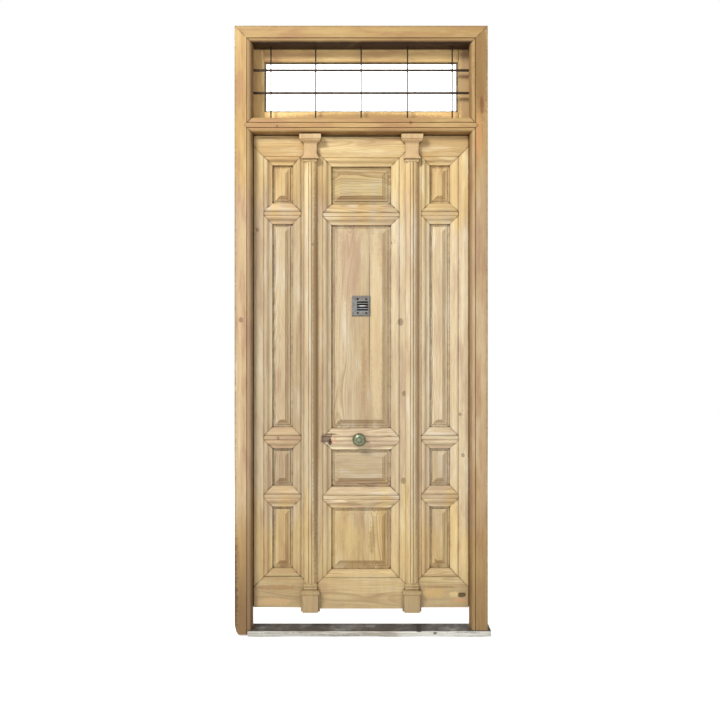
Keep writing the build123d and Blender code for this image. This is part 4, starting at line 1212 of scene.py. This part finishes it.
# %% Clear glass with a little dust
def make_pane():
    material, tree, shader = start_material("old_clear_glass")
    shader.inputs["Transmission Weight"].default_value = 1.0
    shader.inputs["IOR"].default_value = 1.5
    place = place_node(tree, "ShaderNodeTexCoord").outputs["Object"]
    dusty = noise(tree, place, scale=9.0, detail=5.0).outputs[0]
    film = remap(tree, dusty, 0.45, 0.75)
    tint = blend_colour(tree, film, chart(252, 254, 253), chart(240, 240, 232))
    tree.links.new(tint, shader.inputs["Base Color"])
    tree.links.new(remap(tree, film, 0.0, 1.0, 0.0, 0.04), shader.inputs["Roughness"])
    return material


dress("fanlight_glass", make_pane())
undressed = [n for n, o in nodes.items() if len(o.data.materials) != 1]
print("pieces without a finish:", undressed)

# %% [markdown]
# ## Nails, screws and glazing beads
#
# Small fixings are what makes old joinery believable up close. The slotted plate is held by four
# forged nails, whose heads are low domes with hammered facets. The bolt inside is held by slotted
# screws. The pane of the fanlight is held from inside by four thin quarter-round beads, mitred at
# the corners. A ready-made sphere or cylinder would be too even for forged and hand-planed things.
# So all of them are drawn vertex by vertex, as rings of points that are bridged with faces, where
# chance can shift each point a little. They ride with the body they are fixed to.


# %% Helpers that turn points into a piece of the door
def finish_piece(name, shape, material, body):
    bmesh.ops.recalc_face_normals(shape, faces=shape.faces)
    mesh = bpy.data.meshes.new(name)
    shape.to_mesh(mesh)
    shape.free()
    piece = add_object(name, mesh)
    mesh.materials.append(material)
    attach(piece, body)
    return piece


def ring_of(shape, centre, radius, depth, count, jitter=0.0, start=0.0, sweep=math.tau):
    points = []
    for step in range(count):
        turn = start + sweep * step / (count if sweep == math.tau else count - 1)
        reach = radius * (1 + dice.uniform(-jitter, jitter))
        x, z = centre[0] + reach * math.cos(turn), centre[1] + reach * math.sin(turn)
        points.append(shape.verts.new((x, depth, z)))
    return points


def bridge(shape, first, second):
    for step in range(len(first)):
        after = (step + 1) % len(first)
        shape.faces.new((first[step], first[after], second[after], second[step]))


print("small pieces can be drawn")

# %% Forge the four nails of the peephole plate
NAIL_RADIUS = 0.0058
NAIL_PLACES = ((-0.018, 0.0355), (0.026, 0.0345), (-0.0175, -0.0355), (0.0255, -0.035))
NAIL_DOME = ((1.0, -0.0006), (0.97, 0.0005), (0.72, 0.0017), (0.38, 0.0023))
plate_low, plate_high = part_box("peephole_grille")
PLATE_FRONT = plate_low.y + 0.0016  # the flat face of the plate, behind its raised bars
plate_middle = (plate_low.z + plate_high.z) / 2
nail_shape = bmesh.new()
for x, z in NAIL_PLACES:
    spot = (x, plate_middle + z)
    rings = []
    for share, lift in NAIL_DOME:
        radius, start = NAIL_RADIUS * share, dice.random()
        depth = PLATE_FRONT - lift
        rings.append(ring_of(nail_shape, spot, radius, depth, 9, jitter=0.07, start=start))
    for first, second in zip(rings, rings[1:]):
        bridge(nail_shape, first, second)
    nail_shape.faces.new(rings[0])
    nail_shape.faces.new(rings[-1])
plate_nails = finish_piece("plate_nails", nail_shape, black_iron, "centre_leaf")
print("nails:", len(plate_nails.data.polygons), "faces")

# %% Turn the slotted screws of the bolt
SLOT_HALF = 0.0005
SCREW_BACK = 0.048 + 0.0025  # the back of the leaves, and the thickness of the iron on it
# name of the iron, body, (x, z) of its screws, and the radius of their heads
SCREWED_IRONS = (
    (
        "bolt_plate",
        "centre_leaf",
        [(-0.219, 0.967), (-0.219, 0.995), (-0.165, 0.967), (-0.165, 0.995)],
        0.0036,
    ),
    ("bolt_keeper", "frame", [(-0.2665, 0.9665), (-0.2665, 0.9955)], 0.0029),
)


def add_screw(shape, spot, radius, back):
    base = ring_of(shape, spot, radius, back - 0.0004, 20)
    seat = ring_of(shape, spot, radius, back + 0.0008, 20)
    bridge(shape, base, seat)
    shape.faces.new(base)
    shape.faces.new(seat)
    turned = dice.uniform(0, math.pi)
    for side in (0, math.pi):
        gap = math.asin(SLOT_HALF / radius)
        start, sweep = turned + side + gap, math.pi - 2 * gap
        low = ring_of(shape, spot, radius, back + 0.0008, 11, start=start, sweep=sweep)
        rim = ring_of(shape, spot, radius, back + 0.0013, 11, start=start, sweep=sweep)
        away = turned + side
        top = (spot[0] - 0.0002 * math.sin(away), spot[1] + 0.0002 * math.cos(away))
        crown = ring_of(shape, top, radius * 0.8, back + 0.0020, 11, start=start, sweep=sweep)
        bridge(shape, low, rim)
        bridge(shape, rim, crown)
        shape.faces.new(low)
        shape.faces.new(crown)


for name, body, spots, radius in SCREWED_IRONS:
    screw_shape = bmesh.new()
    for spot in spots:
        add_screw(screw_shape, spot, radius, SCREW_BACK)
    made = finish_piece(name + "_screws", screw_shape, black_iron, body)
    print(made.name, "has", len(made.data.polygons), "faces and rides on", body)

# %% Run the beads round the pane
BEAD = 0.009
BEAD_STEPS = 48
LAP = 0.006  # how far the pane reaches behind the wood of the sash
HAIR = 0.0001  # the beads keep this far from glass and wood
pane_low, pane_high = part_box("fanlight_glass")
BEAD_PROFILE = [(0.0, HAIR)]
for step in range(7):
    turn = step * math.pi / 12
    BEAD_PROFILE.append((BEAD * math.sin(turn), HAIR + BEAD * math.cos(turn)))


def add_bead(shape, start, end, inward):
    along = Vector(end) - Vector(start)
    way = along.normalized()
    loops = []
    for step in range(BEAD_STEPS + 1):
        share = step / BEAD_STEPS
        loop = []
        for reach, lift in BEAD_PROFILE:
            inset = HAIR + reach * (1 + dice.uniform(-0.03, 0.03))
            length = inset + share * (along.length - 2 * inset)
            point = Vector(start) + way * length + Vector(inward) * inset
            loop.append(shape.verts.new((point.x, pane_high.y + lift, point.y)))
        loops.append(loop)
    for first, second in zip(loops, loops[1:]):
        bridge(shape, first, second)
    shape.faces.new(loops[0])
    shape.faces.new(loops[-1])


left, right = pane_low.x + LAP, pane_high.x - LAP
bottom, top = pane_low.z + LAP, pane_high.z - LAP
upright_shape, across_shape = bmesh.new(), bmesh.new()
add_bead(upright_shape, (left, bottom), (left, top), (1, 0))
add_bead(upright_shape, (right, bottom), (right, top), (-1, 0))
add_bead(across_shape, (left, bottom), (right, bottom), (0, 1))
add_bead(across_shape, (left, top), (right, top), (0, -1))
for name, shape in (("beads_upright", upright_shape), ("beads_across", across_shape)):
    wood = pine_board(
        "pine_" + name,
        name == "beads_across",
        (0.35, 0.16, 0.0),
        ring_width=0.0024,
        contrast=0.4,
        colours=tinted(FRAME_COLOURS, 1.1, 0.97),
        edges=RUBBED_EDGES,
    )
    made = finish_piece(name, shape, wood, "frame")
    print(name, "has", len(made.data.polygons), "faces")

# %% [markdown]
# ## Softened arrises
#
# No real edge is perfectly sharp, least of all on wood that has been waxed and dusted for a
# century. The rounding could be cut into the solids, but that would make them heavy, and a Bevel
# node in the material would not show on the outline. A Bevel modifier rounds each hard edge by a
# fraction of a millimetre, which catches the light as a thin line. The loaded meshes have split
# corners, so a Weld modifier joins them first. Modifiers leave the loaded mesh itself as it was.

# %% Round the edges of the wooden pieces
EDGE_ANGLE = math.radians(35)
ROUNDING = 0.0009


def soften(name):
    piece = nodes[name]
    weld = piece.modifiers.new("join corners", "WELD")
    weld.merge_threshold = 1e-6
    bevel = piece.modifiers.new("soften edges", "BEVEL")
    bevel.width = ROUNDING
    bevel.segments = 2
    bevel.limit_method = "ANGLE"
    bevel.angle_limit = EDGE_ANGLE
    bevel.use_clamp_overlap = True


for name in leaf_pieces + list(FRAME_BOARDS):
    soften(name)
print("softened", len(leaf_pieces) + len(FRAME_BOARDS), "pieces")

# %% [markdown]
# ## Floor and backdrop
#
# The door stands on a plain pale floor against white. A curved studio backdrop would do as well,
# but it would stand in the way when the door is seen from behind. The floor takes the door's
# shadow, and its material adds white light for the camera only, so that it stays pale without more
# lamps and throws no extra light up at the door. It is not attached to any body of the door.


# %% Lay the floor
def seen_ray(tree):
    path = place_node(tree, "ShaderNodeLightPath").outputs
    seen = reckon(tree, "MAXIMUM", path["Is Camera Ray"], path["Is Glossy Ray"])
    return reckon(tree, "MAXIMUM", seen, path["Is Transmission Ray"])


def glow_of(tree, colour, strength):
    inputs = {"Color": colour, "Strength": strength}
    return place_node(tree, "ShaderNodeEmission", inputs).outputs[0]


def make_floor(half=8.0):
    mesh = bpy.data.meshes.new("pale_floor")
    corners = [(-half, -half, 0), (half, -half, 0), (half, half, 0), (-half, half, 0)]
    mesh.from_pydata(corners, [], [(0, 1, 2, 3)])
    floor = add_object("pale_floor", mesh)
    material, tree, shader = start_material("pale_floor")
    shader.inputs["Base Color"].default_value = chart(244, 244, 242)
    shader.inputs["Roughness"].default_value = 0.9
    glow, dark = glow_of(tree, (1, 1, 1, 1), 0.6), glow_of(tree, (0, 0, 0, 1), 0.0)
    inputs = {0: seen_ray(tree), 1: dark, 2: glow}
    lift = place_node(tree, "ShaderNodeMixShader", inputs).outputs[0]
    mixed = place_node(tree, "ShaderNodeAddShader", {0: shader.outputs[0], 1: lift}).outputs[0]
    tree.links.new(mixed, tree.nodes["Material Output"].inputs["Surface"])
    mesh.materials.append(material)
    return floor


floor = make_floor()
print("floor laid,", floor.dimensions[:2])

# %% [markdown]
# ## Light
#
# The door was photographed in soft daylight that comes from the upper left, so the mouldings have
# gentle shadows on their lower right side. A single sun would make those shadows hard. A wide
# square lamp high on the left gives them, a weak one on the right fills them, and one behind the
# door lights its back for the views from inside. The surroundings look white to the camera but
# shine at less than half of that, or the shadows would wash out. The Standard view transform keeps
# the colours as they were written.


# %% White surroundings and soft studio light
def make_world():
    world = bpy.data.worlds.new("white_studio")
    bpy.context.scene.world = world
    world.use_nodes = True
    tree = world.node_tree
    tree.nodes.clear()
    inputs = {0: seen_ray(tree)}
    for slot, colour, strength in ((1, chart(250, 250, 252), 0.42), (2, (1, 1, 1, 1), 1.0)):
        light = {"Color": colour, "Strength": strength}
        inputs[slot] = place_node(tree, "ShaderNodeBackground", light).outputs[0]
    mixed = place_node(tree, "ShaderNodeMixShader", inputs).outputs[0]
    ending = tree.nodes.new("ShaderNodeOutputWorld")
    tree.links.new(mixed, ending.inputs["Surface"])


def soft_lamp(name, spot, aim, size, watts, tint):
    lamp = bpy.data.lights.new(name, "AREA")
    lamp.shape = "SQUARE"
    lamp.size = size
    lamp.energy = watts
    lamp.color = tint
    holder = add_object(name, lamp)
    holder.location = spot
    holder.rotation_euler = (Vector(aim) - Vector(spot)).to_track_quat("-Z", "Y").to_euler()
    return holder


make_world()
LAMPS = {
    "key_lamp": dict(
        spot=(-2.9, -3.8, 5.2), aim=(0.1, 0, 1.4), size=1.5, watts=280, tint=(1.0, 0.99, 0.965)
    ),
    "fill_lamp": dict(
        spot=(3.2, -4.2, 2.0), aim=(0, 0, 1.4), size=3.0, watts=34, tint=(0.97, 0.985, 1.0)
    ),
    "back_lamp": dict(spot=(0.5, 4.5, 3.6), aim=(0, 0, 1.5), size=3.0, watts=90, tint=(1, 1, 1)),
}
for name, lamp in LAMPS.items():
    soft_lamp(name, **lamp)
bpy.context.scene.view_settings.view_transform = "Standard"

# %% [markdown]
# ## The camera
#
# The photograph was taken square on, with the eye a little over 1.5 m above the ground and the
# picture slid down a little. A camera that is tilted would take in the same part of the door, but
# its upright lines would lean. A small lens shift slides the picture and keeps them upright.

# %% Place the camera
EYE = (-0.006, -4.35, 1.5325)
PICTURE, SLIDE = 720, 30  # the picture's side and how far it is slid down, in pixels
camera_data = bpy.data.cameras.new("photo_camera")
camera_data.lens = 43.0
camera_data.sensor_width = 36.0
camera_data.shift_y = -SLIDE / PICTURE
camera = add_object("photo_camera", camera_data)
camera.location = EYE
camera.rotation_euler = (math.pi / 2, 0, 0)
bpy.context.scene.camera = camera
print("camera at", EYE)
